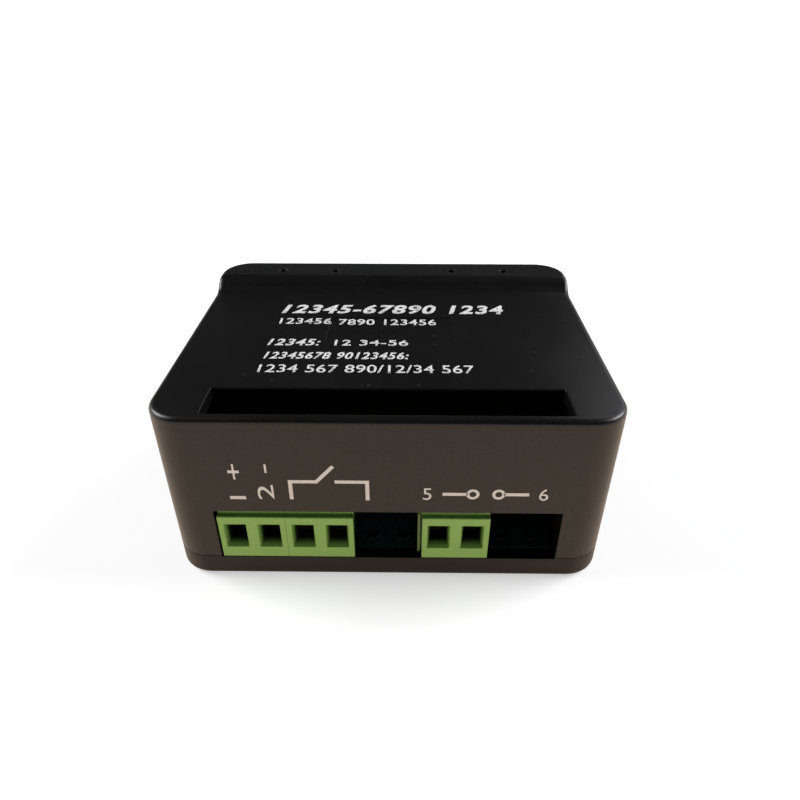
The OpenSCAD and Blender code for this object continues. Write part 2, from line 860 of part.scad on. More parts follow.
module radio_shield() {
    shield_w = radio_w - 2 * shield_side;
    color([0.75, 0.75, 0.76])
    translate([radio_x, shield_y, board_top])
        difference() {
            post_box(shield_w, shield_l, radio_t, radio_t + shield_h);
            post_box(
                shield_w - 2 * shield_t, shield_l - 2 * shield_t,
                radio_t - over, radio_t + shield_h - shield_t
            );
        }
}

// Electrolytic can with a rolled groove near its foot
module can_capacitor(r, h) {
    rotate_extrude()
        difference() {
            square([r, h]);
            translate([r + groove_out, groove_z])
                circle(groove_r);
        }
}

module input_capacitor() {
    color([0.12, 0.12, 0.16])
    translate([left_x, input_cap_y, board_top])
        can_capacitor(input_cap_r, input_cap_h);
}

module output_capacitor() {
    color([0.12, 0.12, 0.16])
    translate([left_x, output_cap_y, board_top])
        can_capacitor(output_cap_r, output_cap_h);
}

module power_inductor() {
    color([0.2, 0.2, 0.21])
    translate([left_x, inductor_y, board_top]) {
        post_box(inductor_w, inductor_w, 0, inductor_h * 0.8);
        cylinder(h = inductor_h, r = inductor_w * 0.42);
    }
}

// Flat chip with a row of leads on two sides
module leaded_chip(w, l, h, leads) {
    pitch = l / leads;
    post_box(w, l, chip_stand, h);
    for (s = [-1, 1], n = [0 : leads - 1])
        translate([s * (w / 2 + lead_out), (n + 0.5) * pitch - l / 2, 0])
            post_box(lead_l, lead_w, 0, lead_t);
}

module regulator() {
    color([0.1, 0.1, 0.11])
    translate([regulator_x, regulator_y, board_top])
        leaded_chip(regulator_w, regulator_l, regulator_h, 4);
}

module sensor_isolator() {
    color([0.1, 0.1, 0.11])
    translate([isolator_x, isolator_y, board_top])
        leaded_chip(isolator_w, isolator_l, isolator_h, 2);
}

module diodes() {
    color([0.09, 0.09, 0.1])
    for (n = [0, 1, 2])
        translate([relay_x + diode_shift, relay_y + relay_l / 2 + diode_lead + diode_pitch * n, board_top]) {
            post_box(diode_w, diode_l, diode_stand, diode_h);
            post_box(diode_span, diode_strap, 0, lead_t);
        }
}

// Rows of small resistors and ceramic capacitors
module chip_parts() {
    color([0.45, 0.38, 0.3])
    for (n = [0 : 3], m = [0, 1])
        translate([
            relay_x - small_shift + small_pitch_x * n,
            regulator_y + small_lead + small_pitch_y * m,
            board_top
        ])
            post_box(small_w, small_l, 0, small_h);
}

module pairing_switch() {
    color([0.15, 0.15, 0.16])
    translate([switch_x, switch_y, board_top])
        difference() {
            post_box(switch_w, switch_w, 0, switch_h);
            translate([0, 0, switch_h - button_seat])
                cylinder(h = button_seat + over, r = button_r + turn_gap);
        }
}

module pairing_button() {
    button_z = switch_h - button_seat + button_travel + seat_gap;
    color([0.2, 0.2, 0.2])
    translate([switch_x, switch_y, board_top + button_z])
        cylinder(h = switch_h + button_h - button_z, r = button_r);
}

module status_light() {
    color([0.3, 0.7, 0.4])
    translate([light_x, light_y, board_top]) {
        cylinder(h = light_rim_h, r = light_r + light_rim);
        cylinder(h = light_h - light_r, r = light_r);
        translate([0, 0, light_h - light_r])
            sphere(light_r);
    }
}

upper_housing();
base();
case_screws();
main_board();
terminal_block(block_poles[0], false);  // terminal_block_1
terminal_block(block_poles[1], true);  // terminal_block_2
terminal_block(block_poles[2], true);  // terminal_block_3
clamp_screw(0);  // clamp_screw_1
clamp_screw(1);  // clamp_screw_2
clamp_screw(2);  // clamp_screw_3
clamp_screw(3);  // clamp_screw_4
clamp_screw(4);  // clamp_screw_5
clamp_screw(5);  // clamp_screw_6
wire_clamp(0);  // wire_clamp_1
wire_clamp(1);  // wire_clamp_2
wire_clamp(2);  // wire_clamp_3
wire_clamp(3);  // wire_clamp_4
wire_clamp(4);  // wire_clamp_5
wire_clamp(5);  // wire_clamp_6
terminal_contacts();
relay_cover();
relay_base();
relay_coil();
relay_yoke();
relay_armature();
relay_pins();
radio_board();
radio_shield();
input_capacitor();
output_capacitor();
power_inductor();
regulator();
diodes();
chip_parts();
sensor_isolator();
pairing_switch();
pairing_button();
status_light();
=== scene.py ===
from math import cos, pi, radians, sin, sqrt

import bmesh
import bpy
from mathutils import Matrix, Vector


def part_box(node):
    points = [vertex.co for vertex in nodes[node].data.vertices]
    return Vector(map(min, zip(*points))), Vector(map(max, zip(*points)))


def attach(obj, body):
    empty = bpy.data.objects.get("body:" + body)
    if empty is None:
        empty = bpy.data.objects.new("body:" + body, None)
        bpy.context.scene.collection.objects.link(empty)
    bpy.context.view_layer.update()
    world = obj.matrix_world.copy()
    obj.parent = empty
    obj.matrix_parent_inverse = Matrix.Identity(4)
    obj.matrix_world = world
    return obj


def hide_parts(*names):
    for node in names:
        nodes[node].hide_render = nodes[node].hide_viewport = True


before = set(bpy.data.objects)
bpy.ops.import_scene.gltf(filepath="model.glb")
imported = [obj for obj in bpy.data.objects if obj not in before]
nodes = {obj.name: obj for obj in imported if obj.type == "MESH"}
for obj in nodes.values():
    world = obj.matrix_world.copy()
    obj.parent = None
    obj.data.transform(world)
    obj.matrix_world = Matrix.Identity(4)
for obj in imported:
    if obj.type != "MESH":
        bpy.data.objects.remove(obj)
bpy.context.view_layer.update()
scene = bpy.context.scene
scene.view_settings.view_transform = "Standard"
metre = 1000.0  # the meshes are modelled in millimetres and scaled down at the end
hairline = 0.001  # points nearer than this, in millimetres, are one point
overcut = 1.0  # how far a cutter reaches past the face that it cuts
print("frame loaded:", len(nodes), "nodes")


def boxOf(node):
    low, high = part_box(node)
    return low * metre, high * metre


# Basic mesh helpers

def addObject(name, data):
    piece = bpy.data.objects.new(name, data)
    scene.collection.objects.link(piece)
    return piece


def linkMesh(name, bm):
    mesh = bpy.data.meshes.new(name)
    bm.to_mesh(mesh)
    bm.free()
    return addObject(name, mesh)


def dropObject(piece):
    mesh = piece.data
    bpy.data.objects.remove(piece)
    bpy.data.meshes.remove(mesh)


def evaluatedMesh(piece):
    bpy.context.view_layer.update()
    depsgraph = bpy.context.evaluated_depsgraph_get()
    return bpy.data.meshes.new_from_object(piece.evaluated_get(depsgraph))


def bakeModifiers(piece):
    mesh = evaluatedMesh(piece)
    old = piece.data
    piece.modifiers.clear()
    piece.data = mesh
    bpy.data.meshes.remove(old)


def combine(piece, operation, tool):
    step = piece.modifiers.new(operation.lower(), "BOOLEAN")
    step.operation = operation
    step.solver = "EXACT"
    step.object = tool
    bakeModifiers(piece)
    dropObject(tool)


def toMetres(piece):
    piece.data.transform(Matrix.Scale(1 / metre, 4))
    piece.data.update()


def shadeByAngle(piece, degrees=32, weight=80):
    piece.data.shade_smooth()
    piece.data.set_sharp_from_angle(angle=radians(degrees))
    step = piece.modifiers.new("even normals", "WEIGHTED_NORMAL")
    step.keep_sharp = True
    step.weight = weight
    bakeModifiers(piece)


def dress(piece, node, finish, body="case"):
    # the last steps of a piece that stands in for a node
    shadeByAngle(piece)
    toMetres(piece)
    piece.data.materials.clear()
    piece.data.materials.append(finishes[finish])
    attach(piece, body)
    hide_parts(node)


def ringFaces(bm, lower, upper):
    count = len(lower)
    for i in range(count):
        j = (i + 1) % count
        bm.faces.new((lower[i], lower[j], upper[j], upper[i]))


def loftWalls(bm, rings):
    # walls through rings of equal length, closed at the lower end
    loops = [[bm.verts.new(p) for p in ring] for ring in rings]
    for lower, upper in zip(loops, loops[1:]):
        ringFaces(bm, lower, upper)
    bm.faces.new(list(reversed(loops[0])))
    return loops[-1]


def loftSolid(name, rings):
    bm = bmesh.new()
    bm.faces.new(loftWalls(bm, rings))
    bmesh.ops.recalc_face_normals(bm, faces=bm.faces)
    return linkMesh(name, bm)


def quarterTurn(steps, start=0):
    return [radians(start + 90 * step / steps) for step in range(steps + 1)]


def roundRect(width, depth, radius, steps=6):
    points = []
    for quarter, (sx, sy) in enumerate(((1, -1), (1, 1), (-1, 1), (-1, -1))):
        for angle in quarterTurn(steps, 90 * quarter - 90):
            points.append((
                sx * (width / 2 - radius) + radius * cos(angle),
                sy * (depth / 2 - radius) + radius * sin(angle),
            ))
    return points


def rimProfile(radius, steps=4):
    # how far a cut with a round rim widens, by its depth under the face
    rows = []
    for angle in quarterTurn(steps):
        depth = radius * (1 - cos(angle))
        rows.append((depth, radius - sqrt(max(radius ** 2 - (radius - depth) ** 2, 0))))
    return rows


def rimCutter(name, width, depth, corner, rim, reach, place):
    # straight cut along -Z from the face at z = 0, with a round rim
    rows = [(-overcut, rim)] + rimProfile(rim) + [(reach, 0)]
    rings = []
    for down, grow in reversed(rows):
        plan = roundRect(width + 2 * grow, depth + 2 * grow, corner + grow)
        rings.append([place @ Vector((x, y, -down)) for x, y in plan])
    return loftSolid(name, rings)


def circlePoints(centre, radius, height, steps):
    turns = [2 * pi * k / steps for k in range(steps)]
    return [(centre[0] + radius * cos(a), centre[1] + radius * sin(a), height) for a in turns]


def latheSolid(name, profile, centre, steps=40):
    # profile is radius and height from bottom to top
    return loftSolid(name, [circlePoints(centre, radius, height, steps) for radius, height in profile])


def columns(name, radius, low, high, places, steps=40):
    return [latheSolid(name, [(radius, low), (radius, high)], place, steps) for place in places]


def blockSolid(name, low, high):
    x0, y0, z0 = low
    x1, y1, z1 = high
    lower = [(x0, y0, z0), (x1, y0, z0), (x1, y1, z0), (x0, y1, z0)]
    return loftSolid(name, [lower, [(x, y, z1) for x, y, _ in lower]])


def joinSolids(name, solids, outward=False):
    bm = bmesh.new()
    for solid in solids:
        bm.from_mesh(solid.data)
        dropObject(solid)
    if outward:
        bmesh.ops.recalc_face_normals(bm, faces=bm.faces)
    return linkMesh(name, bm)


def cadCopy(name, node, flat=1.0, near=0.0005):
    # merged copy of a node's mesh in millimetres, flat faces joined
    bm = bmesh.new()
    bm.from_mesh(nodes[node].data)
    bmesh.ops.scale(bm, vec=(metre,) * 3, verts=bm.verts)
    bmesh.ops.remove_doubles(bm, verts=bm.verts, dist=near)
    bmesh.ops.dissolve_limit(bm, angle_limit=radians(flat), verts=bm.verts, edges=bm.edges)
    return linkMesh(name, bm)


def softenEdges(piece, width, pick=None, segments=2, sharp=40):
    bm = bmesh.new()
    bm.from_mesh(piece.data)
    limit = radians(sharp)
    chosen = []
    for edge in bm.edges:
        if len(edge.link_faces) != 2 or edge.calc_face_angle(0) < limit:
            continue
        if pick is None or pick(*(v.co for v in edge.verts)):
            chosen.append(edge)
    bmesh.ops.bevel(
        bm, geom=chosen, offset=width, offset_type="OFFSET", segments=segments, profile=0.5,
        affect="EDGES", clamp_overlap=True,
    )
    bmesh.ops.dissolve_degenerate(bm, dist=hairline, edges=bm.edges)
    bm.to_mesh(piece.data)
    bm.free()


# Shared shader effects

def addNode(tree, kind, inputs=None, **settings):
    # each input takes a value or the socket that feeds it
    step = tree.nodes.new(kind)
    for label, value in settings.items():
        setattr(step, label, value)
    for label, value in (inputs or {}).items():
        if isinstance(value, bpy.types.NodeSocket):
            tree.links.new(value, step.inputs[label])
        else:
            step.inputs[label].default_value = value
    return step


def mathNode(tree, operation, *values, clamp=False):
    inputs = dict(enumerate(values))
    return addNode(tree, "ShaderNodeMath", inputs, operation=operation, use_clamp=clamp).outputs[0]


def noiseNode(tree, vector, scale, detail=3.0, rough=0.55):
    inputs = {"Vector": vector, "Scale": scale, "Detail": detail, "Roughness": rough}
    return addNode(tree, "ShaderNodeTexNoise", inputs).outputs["Fac"]


def mapRange(tree, value, source, target=(0.0, 1.0), course="SMOOTHSTEP"):
    ends = dict(zip(("From Min", "From Max", "To Min", "To Max"), (*source, *target)))
    step = addNode(tree, "ShaderNodeMapRange", {"Value": value, **ends}, interpolation_type=course)
    return step.outputs["Result"]


def mixColour(tree, factor, first, second):
    first, second = ((*c, 1.0) if isinstance(c, tuple) else c for c in (first, second))
    inputs = {"Factor": factor, 6: first, 7: second}
    return addNode(tree, "ShaderNodeMix", inputs, data_type="RGBA").outputs[2]


def objectSpace(tree):
    return addNode(tree, "ShaderNodeTexCoord").outputs["Object"]


def newGroup(name, inputs, outputs):
    group = bpy.data.node_groups.new(name, "ShaderNodeTree")
    for label, value in inputs.items():
        kind = "NodeSocketVector" if isinstance(value, tuple) else "NodeSocketFloat"
        group.interface.new_socket(name=label, in_out="INPUT", socket_type=kind).default_value = value
    for label in outputs:
        group.interface.new_socket(name=label, in_out="OUTPUT", socket_type="NodeSocketFloat")
    return group, addNode(group, "NodeGroupInput").outputs


speckSizes = (1.5, 0.4)  # spread and least size of the specks, as shares of the dust size


def makeMouldGrain():
    # fine moulded skin: a height, a broad tone and sparse specks of dust where it faces up
    group, given = newGroup("mouldGrain", {
        "Grain": 5200.0, "Broad": 70.0, "Dust": 420.0, "Dust share": 0.12, "Dust size": 0.03,
    }, ("Height", "Tone", "Speck"))
    coords = addNode(group, "ShaderNodeTexCoord").outputs
    place = coords["Object"]
    facing = addNode(group, "ShaderNodeSeparateXYZ", {0: coords["Normal"]}).outputs["Z"]
    cells = addNode(group, "ShaderNodeTexVoronoi", {
        "Vector": place, "Scale": given["Dust"], "Randomness": 1.0}).outputs
    chance = addNode(group, "ShaderNodeSeparateColor", {"Color": cells["Color"]}).outputs
    picked = mathNode(group, "LESS_THAN", chance["Red"], given["Dust share"])
    spread = mathNode(group, "MULTIPLY_ADD", chance["Green"], *speckSizes)
    reach = mathNode(group, "MULTIPLY", spread, given["Dust size"])
    away = mathNode(group, "DIVIDE", cells["Distance"], reach)
    inside = mathNode(group, "SUBTRACT", 1.0, away, clamp=True)
    lying = mathNode(group, "MULTIPLY", picked, facing, clamp=True)
    addNode(group, "NodeGroupOutput", {
        "Height": noiseNode(group, place, given["Grain"], 2.0),
        "Tone": noiseNode(group, place, given["Broad"], 4.0, 0.6),
        "Speck": mathNode(group, "MULTIPLY", inside, lying),
    })
    return group


def makeDrawnMetal():
    # lines along the drawing direction, and patches of tarnish
    group, given = newGroup("drawnMetal", {
        "Lines": 3000.0, "Stretch": (1.0, 1.0, 0.05), "Tarnish": 300.0}, ("Height", "Tone"))
    place = objectSpace(group)
    drawn = addNode(group, "ShaderNodeVectorMath", {0: place, 1: given["Stretch"]}, operation="MULTIPLY")
    addNode(group, "NodeGroupOutput", {
        "Height": noiseNode(group, drawn.outputs[0], given["Lines"], 2.0),
        "Tone": noiseNode(group, place, given["Tarnish"]),
    })
    return group


mouldGrain = makeMouldGrain()
drawnMetal = makeDrawnMetal()
noiseReach = (0.3, 0.7)  # nearly all of a noise lies between these
bumpStrength = {"plastic": 0.5, "metal": 0.4}
dustLook = {"colour": (0.2, 0.19, 0.18), "mix": 0.5}


def startMaterial(name, group, labels, values):
    material = bpy.data.materials.new(name)
    material.use_nodes = True
    tree = material.node_tree
    effect = addNode(tree, "ShaderNodeGroup", dict(zip(labels, values)), node_tree=group)
    return material, tree, tree.nodes["Principled BSDF"].inputs, effect.outputs


def ramp(tree, value, low=0.0, high=1.0):
    return mapRange(tree, value, noiseReach, (low, high), "LINEAR")


def bumpFrom(tree, height, depth, strength):
    inputs = {"Strength": strength, "Distance": depth / metre, "Height": height}
    return addNode(tree, "ShaderNodeBump", inputs).outputs["Normal"]


def plastic(name, dark, light, rough, depth, grain, specular=0.5, fleck=0.0):
    # fleck is the share of the fine grain in the colour
    labels = ("Grain", "Broad", "Dust", "Dust share", "Dust size")
    material, tree, surface, effect = startMaterial(name, mouldGrain, labels, grain)
    broad = mathNode(tree, "MULTIPLY", effect["Tone"], 1.0 - fleck)
    blend = mathNode(tree, "MULTIPLY_ADD", effect["Height"], fleck, broad)
    body = mixColour(tree, ramp(tree, blend), dark, light)
    dusty = mathNode(tree, "MULTIPLY", effect["Speck"], dustLook["mix"])
    bump = bumpFrom(tree, effect["Height"], depth, bumpStrength["plastic"])
    tree.links.new(mixColour(tree, dusty, body, dustLook["colour"]), surface["Base Color"])
    tree.links.new(ramp(tree, effect["Tone"], *rough), surface["Roughness"])
    tree.links.new(bump, surface["Normal"])
    surface["Specular IOR Level"].default_value = specular
    return material


def metal(name, dark, light, rough, depth, lines):
    labels = ("Lines", "Stretch", "Tarnish")
    material, tree, surface, effect = startMaterial(name, drawnMetal, labels, lines)
    bump = bumpFrom(tree, effect["Height"], depth, bumpStrength["metal"])
    tree.links.new(mixColour(tree, ramp(tree, effect["Tone"]), dark, light), surface["Base Color"])
    tree.links.new(ramp(tree, effect["Height"], *rough), surface["Roughness"])
    tree.links.new(bump, surface["Normal"])
    surface["Metallic"].default_value = 1.0
    return material


# dark and light colour, roughness, depth of the grain, values of the effect
plasticLooks = {
    "coverBlack": (
        (0.0018, 0.0018, 0.0018), (0.0090, 0.0088, 0.0086), (0.26, 0.34), 0.016,
        (3000, 60, 700, 0.07, 0.12), 0.44, 0.8),
    "baseBlack": (
        (0.0048, 0.0046, 0.0043), (0.0066, 0.0062, 0.0058), (0.32, 0.40), 0.010, (5200, 75, 300, 0.06), 0.30),
    "terminalGreen": (
        (0.275, 0.575, 0.135), (0.305, 0.615, 0.155), (0.34, 0.44), 0.006, (3800, 260, 500, 0.04)),
    "boardGreen": (
        (0.022, 0.066, 0.046), (0.030, 0.086, 0.058), (0.24, 0.36), 0.006, (2600, 420, 700, 0.08)),
    "relayBlue": ((0.012, 0.055, 0.26), (0.018, 0.07, 0.32), (0.3, 0.4), 0.008, (3200, 160, 400, 0.05)),
    "chipBlack": (
        (0.010, 0.010, 0.011), (0.016, 0.016, 0.017), (0.5, 0.65), 0.012, (6500, 300, 900, 0.04)),
    "ferriteGrey": (
        (0.030, 0.030, 0.032), (0.048, 0.047, 0.047), (0.6, 0.75), 0.03, (4200, 260, 900, 0.05)),
    "ceramicTan": ((0.20, 0.14, 0.08), (0.28, 0.20, 0.12), (0.45, 0.55), 0.006, (5000, 500, 900, 0.02)),
    "radioBlack": (
        (0.008, 0.009, 0.014), (0.012, 0.014, 0.02), (0.25, 0.36), 0.005, (2600, 350, 900, 0.04)),
    "canSleeve": ((0.008, 0.009, 0.022), (0.012, 0.013, 0.03), (0.22, 0.3), 0.004, (1800, 220, 600, 0.05)),
    "lightGreen": ((0.07, 0.42, 0.16), (0.1, 0.5, 0.2), (0.12, 0.2), 0.002, (1500, 300, 900, 0.02)),
    "bobbinIvory": ((0.52, 0.47, 0.36), (0.60, 0.55, 0.43), (0.4, 0.5), 0.006, (3600, 300, 700, 0.05)),
    "printWhite": ((0.86, 0.86, 0.86), (0.93, 0.93, 0.93), (0.5, 0.62), 0.004, (7000, 900, 900, 0.0)),
}
metalLooks = {
    "screwZinc": ((0.50, 0.50, 0.51), (0.66, 0.66, 0.66), (0.26, 0.42), 0.004, (5200, (1, 1, 0.3), 700)),
    "clampNickel": ((0.60, 0.54, 0.42), (0.74, 0.68, 0.54), (0.24, 0.38), 0.004, (4200, (1, 0.15, 1), 600)),
    "copperTurns": ((0.42, 0.15, 0.05), (0.62, 0.26, 0.09), (0.22, 0.34), 0.05, (5200, (0.02, 0.02, 1), 250)),
    "antennaGold": ((0.62, 0.42, 0.14), (0.76, 0.54, 0.22), (0.24, 0.36), 0.003, (2400, (1, 1, 1), 500)),
    "yokeIron": ((0.36, 0.36, 0.37), (0.48, 0.48, 0.49), (0.34, 0.5), 0.006, (3600, (1, 0.1, 1), 420)),
    "shieldTin": ((0.56, 0.56, 0.57), (0.68, 0.68, 0.68), (0.28, 0.4), 0.004, (2600, (0.1, 1, 1), 260)),
    # dark greenish metal for the empty pads, far darker than the tin of the joints
    "padDark": ((0.10, 0.12, 0.10), (0.16, 0.18, 0.15), (0.45, 0.6), 0.008, (1800, (1, 1, 1), 1200)),
    "padTin": ((0.46, 0.46, 0.45), (0.62, 0.61, 0.58), (0.3, 0.45), 0.01, (1800, (1, 1, 1), 900)),
}
finishes = {name: plastic(name, *look) for name, look in plasticLooks.items()}
finishes.update({name: metal(name, *look) for name, look in metalLooks.items()})

# painted shade: the green falls off to near black along y behind the face of the blocks, below the ledge at
# top, standing in for the shade inside the funnels and throats
funnelPaintedShade = {"along": (-26.45, -25.15), "top": 12.1, "dark": (0.006, 0.012, 0.004)}


# paints the shade of the funnels and throats into the terminal green's colour
def paintFunnelShade(material):
    tree = material.node_tree
    colour = tree.nodes["Principled BSDF"].inputs["Base Color"]
    parts = addNode(tree, "ShaderNodeSeparateXYZ", {0: objectSpace(tree)}).outputs
    fall = mapRange(tree, parts["Y"], [y / metre for y in funnelPaintedShade["along"]])
    below = mathNode(tree, "LESS_THAN", parts["Z"], funnelPaintedShade["top"] / metre)
    factor = mathNode(tree, "MULTIPLY", fall, below)
    tree.links.new(mixColour(tree, factor, colour.links[0].from_socket, funnelPaintedShade["dark"]), colour)


paintFunnelShade(finishes["terminalGreen"])
print("finishes made:", len(finishes))


# Case: sizes that both halves share, in millimetres

caseLow, caseHigh = boxOf("upper_housing")
case = {
    "width": caseHigh.x - caseLow.x, "depth": caseHigh.y - caseLow.y,
    "corner": 5.4, "cornerSteps": 12, "wall": 1.5,
    "groove": 0.06,  # half of the V at the joint between the halves
    "pillarRadius": 3.0, "pillarX": 28.9, "pillarY": 22.1,
    "postRadius": 2.1, "postX": 23.1, "postRows": (-13.9, 19.5),
    "windowHalf": 25.65,
}


def sidePlan(inset, straightRows):
    # right-hand side of the case's outline from front to back
    halfWidth, halfDepth = case["width"] / 2, case["depth"] / 2
    corner, steps = case["corner"], case["cornerSteps"]
    radius = corner - inset
    middle = halfWidth - corner
    points = []
    for start, centreY in ((-90, corner - halfDepth), (0, halfDepth - corner)):
        for angle in quarterTurn(steps, start):
            points.append((middle + radius * cos(angle), centreY + radius * sin(angle)))
        if start:
            points += [(halfWidth - inset, row) for row in straightRows]
    return points


def caseRing(inset, straightRows, heightAt):
    right = [(x, y, heightAt(y)) for x, y in sidePlan(inset, straightRows)]
    return right + [(-x, y, z) for x, y, z in reversed(right)]


def hollow(piece, low, high):
    wall = case["wall"]
    plan = roundRect(
        case["width"] - 2 * wall, case["depth"] - 2 * wall, case["corner"] - wall,
        case["cornerSteps"])
    combine(piece, "DIFFERENCE", loftSolid("room", [[(x, y, z) for x, y in plan] for z in (low, high)]))


def mirrored(x, ys):
    return [(side * x, y) for side in (-1, 1) for y in ys]


pillarPlaces = mirrored(case["pillarX"], (-case["pillarY"], case["pillarY"]))
postPlaces = mirrored(case["postX"], case["postRows"])


# Upper housing

cover = {
    "joint": caseLow.z, "roof": 2.0, "edge": 0.8, "edgeSteps": 6, "hold": 0.15,
    "ridgeTop": caseHigh.z, "ridgeRise": 1.95, "ridgeFlat": 6.6, "ridgeRun": 5.0, "runSteps": 14,
    "slotHalf": 25.4, "slotDepth": 6.56, "slotCorner": 0.25, "slotRim": 0.22,
    "windowTop": 13.25, "windowCorner": 0.12, "windowRim": 0.22, "windowReach": 0.5,
    "insetWidth": 21.0, "insetDepth": 9.1, "insetStart": 22.4,
    "insetSink": 0.15, "insetCorner": 0.2, "insetRim": 0.14,
    "dimpleRadius": 0.8, "dimpleSink": 0.6, "dimpleRim": 0.12, "dimpleStart": 1.95, "dimpleX": (11.3, 21.46),
    "dimpleFoot": (0.85, 0.8),  # share of the radius at the bottom, share of the sink where the wall starts
    "dimpleSteps": 28,
    "curtain": 1.2, "curtainFoot": 17.6,
    "screwHole": 1.3, "screwDepth": 9.0, "pegHole": 1.15, "pegDepth": 2.0, "holeSteps": 24,
}
mainTop = cover["ridgeTop"] - cover["ridgeRise"]
frontY = caseLow.y
backY = caseHigh.y
ridgeStart = backY - cover["ridgeFlat"] - cover["ridgeRun"]


def topHeight(y):
    # flat, then two equal arcs up to the ridge, then flat
    rise, run = cover["ridgeRise"], cover["ridgeRun"]
    bend = (run ** 2 + rise ** 2) / (4 * rise)
    along = min(max(y - ridgeStart, 0), run)
    if along <= run / 2:
        return mainTop + bend - sqrt(bend ** 2 - along ** 2)
    return mainTop + rise - bend + sqrt(bend ** 2 - (run - along) ** 2)


def coverShell():
    run, steps = cover["ridgeRun"], cover["runSteps"]
    edge, hold, joint = cover["edge"], cover["hold"], cover["joint"]
    rows = [ridgeStart + run * k / steps for k in range(steps + 1)]
    groove = case["groove"]
    rings = [
        caseRing(groove, rows, lambda y: joint),
        caseRing(0, rows, lambda y: joint + groove),
        caseRing(0, rows, lambda y: topHeight(y) - edge - hold),
    ]
    for angle in quarterTurn(cover["edgeSteps"]):
        drop = edge * (1 - sin(angle))
        rings.append(caseRing(edge * (1 - cos(angle)), rows, lambda y, d=drop: topHeight(y) - d))
    rings.append(caseRing(edge + hold, rows, topHeight))
    bm = bmesh.new()
    border = loftWalls(bm, rings)
    # the top: one face in front of the ridge, strips up the curve, one face on the ridge
    half = len(border) // 2
    right, left = border[:half], list(reversed(border[half:]))
    first = case["cornerSteps"] + 1
    last = first + steps
    bm.faces.new(right[:first + 1] + list(reversed(left[:first + 1])))
    for k in range(first, last):
        bm.faces.new((right[k], right[k + 1], left[k + 1], left[k]))
    bm.faces.new(right[last:] + list(reversed(left[last:])))
    bmesh.ops.recalc_face_normals(bm, faces=bm.faces)
    return linkMesh("upperHousing", bm)


def coverFurniture():
    joint, half = cover["joint"], cover["slotHalf"]
    top = mainTop - cover["roof"] / 2
    slotBack = frontY + case["wall"] + cover["slotDepth"]
    solids = columns("pillar", case["pillarRadius"], joint, top, pillarPlaces)
    solids += columns("post", case["postRadius"], joint, top, postPlaces)
    solids.append(blockSolid(
        "curtain", (-half, slotBack, cover["curtainFoot"]), (half, slotBack + cover["curtain"], top)))
    return joinSolids("furniture", solids)


def dimpleProfile():
    rim, radius, sink = cover["dimpleRim"], cover["dimpleRadius"], cover["dimpleSink"]
    top = cover["ridgeTop"]
    narrow, wallStart = cover["dimpleFoot"]
    profile = [(radius * narrow, top - sink), (radius, top - sink * wallStart)]
    profile += [(radius + grow, top - down) for down, grow in reversed(rimProfile(rim))]
    return profile + [(radius + rim, top + overcut)]


def coverCuts():
    joint, slotDepth, insetDepth = cover["joint"], cover["slotDepth"], cover["insetDepth"]
    slotMid = frontY + case["wall"] + slotDepth / 2
    insetMid = frontY + cover["insetStart"] + insetDepth / 2
    facing = Matrix.Translation((0, frontY, joint)) @ Matrix.Rotation(radians(90), 4, "X")
    rims = {  # width, depth, reach and place
        "slot": (
            2 * cover["slotHalf"], slotDepth, cover["roof"] + overcut,
            Matrix.Translation((0, slotMid, mainTop))),
        "window": (
            2 * case["windowHalf"], 2 * (cover["windowTop"] - joint),
            case["wall"] + cover["windowReach"], facing),
        "inset": (
            cover["insetWidth"], insetDepth, cover["insetSink"],
            Matrix.Translation((0, insetMid, mainTop))),
    }
    cuts = [
        rimCutter(name, width, depth, cover[name + "Corner"], cover[name + "Rim"], reach, place)
        for name, (width, depth, reach, place) in rims.items()
    ]
    dimpleY = backY - cover["ridgeFlat"] + cover["dimpleStart"]
    for x in cover["dimpleX"]:
        for place in mirrored(x, (dimpleY,)):
            cuts.append(latheSolid("dimple", dimpleProfile(), place, cover["dimpleSteps"]))
    for kind, places in (("screw", pillarPlaces), ("peg", postPlaces)):
        radius, end = cover[kind + "Hole"], joint + cover[kind + "Depth"]
        cuts += columns("hole", radius, joint - overcut, end, places, cover["holeSteps"])
    return joinSolids("cuts", cuts)


def makeUpperHousing():
    shell = coverShell()
    hollow(shell, cover["joint"] - overcut, mainTop - cover["roof"])
    combine(shell, "UNION", coverFurniture())
    combine(shell, "DIFFERENCE", coverCuts())
    dress(shell, "upper_housing", "coverBlack")
    print("upper housing:", len(shell.data.polygons), "faces")


makeUpperHousing()


# Base

base = {
    "foot": 1.0, "footSteps": 7, "floor": 1.4, "sillDrop": 0.15,
    "lip": 1.0, "lipGap": 0.15, "lipRise": 1.3, "lipEndGap": 0.5,
    "boardBottom": 2.5, "pegRadius": 1.1, "pegTop": 5.3,
    "headHole": 2.4, "headDepth": 2.15, "shaftHole": 1.45, "holeRim": 0.15, "holeSteps": 32,
}


def baseShell():
    joint, foot, groove = cover["joint"], base["foot"], case["groove"]
    rings = []
    for angle in quarterTurn(base["footSteps"]):
        height = foot * (1 - cos(angle))
        rings.append(caseRing(foot * (1 - sin(angle)), [], lambda y, z=height: z))
    rings.append(caseRing(0, [], lambda y: joint - groove))
    rings.append(caseRing(groove, [], lambda y: joint))
    return loftSolid("baseTray", rings)


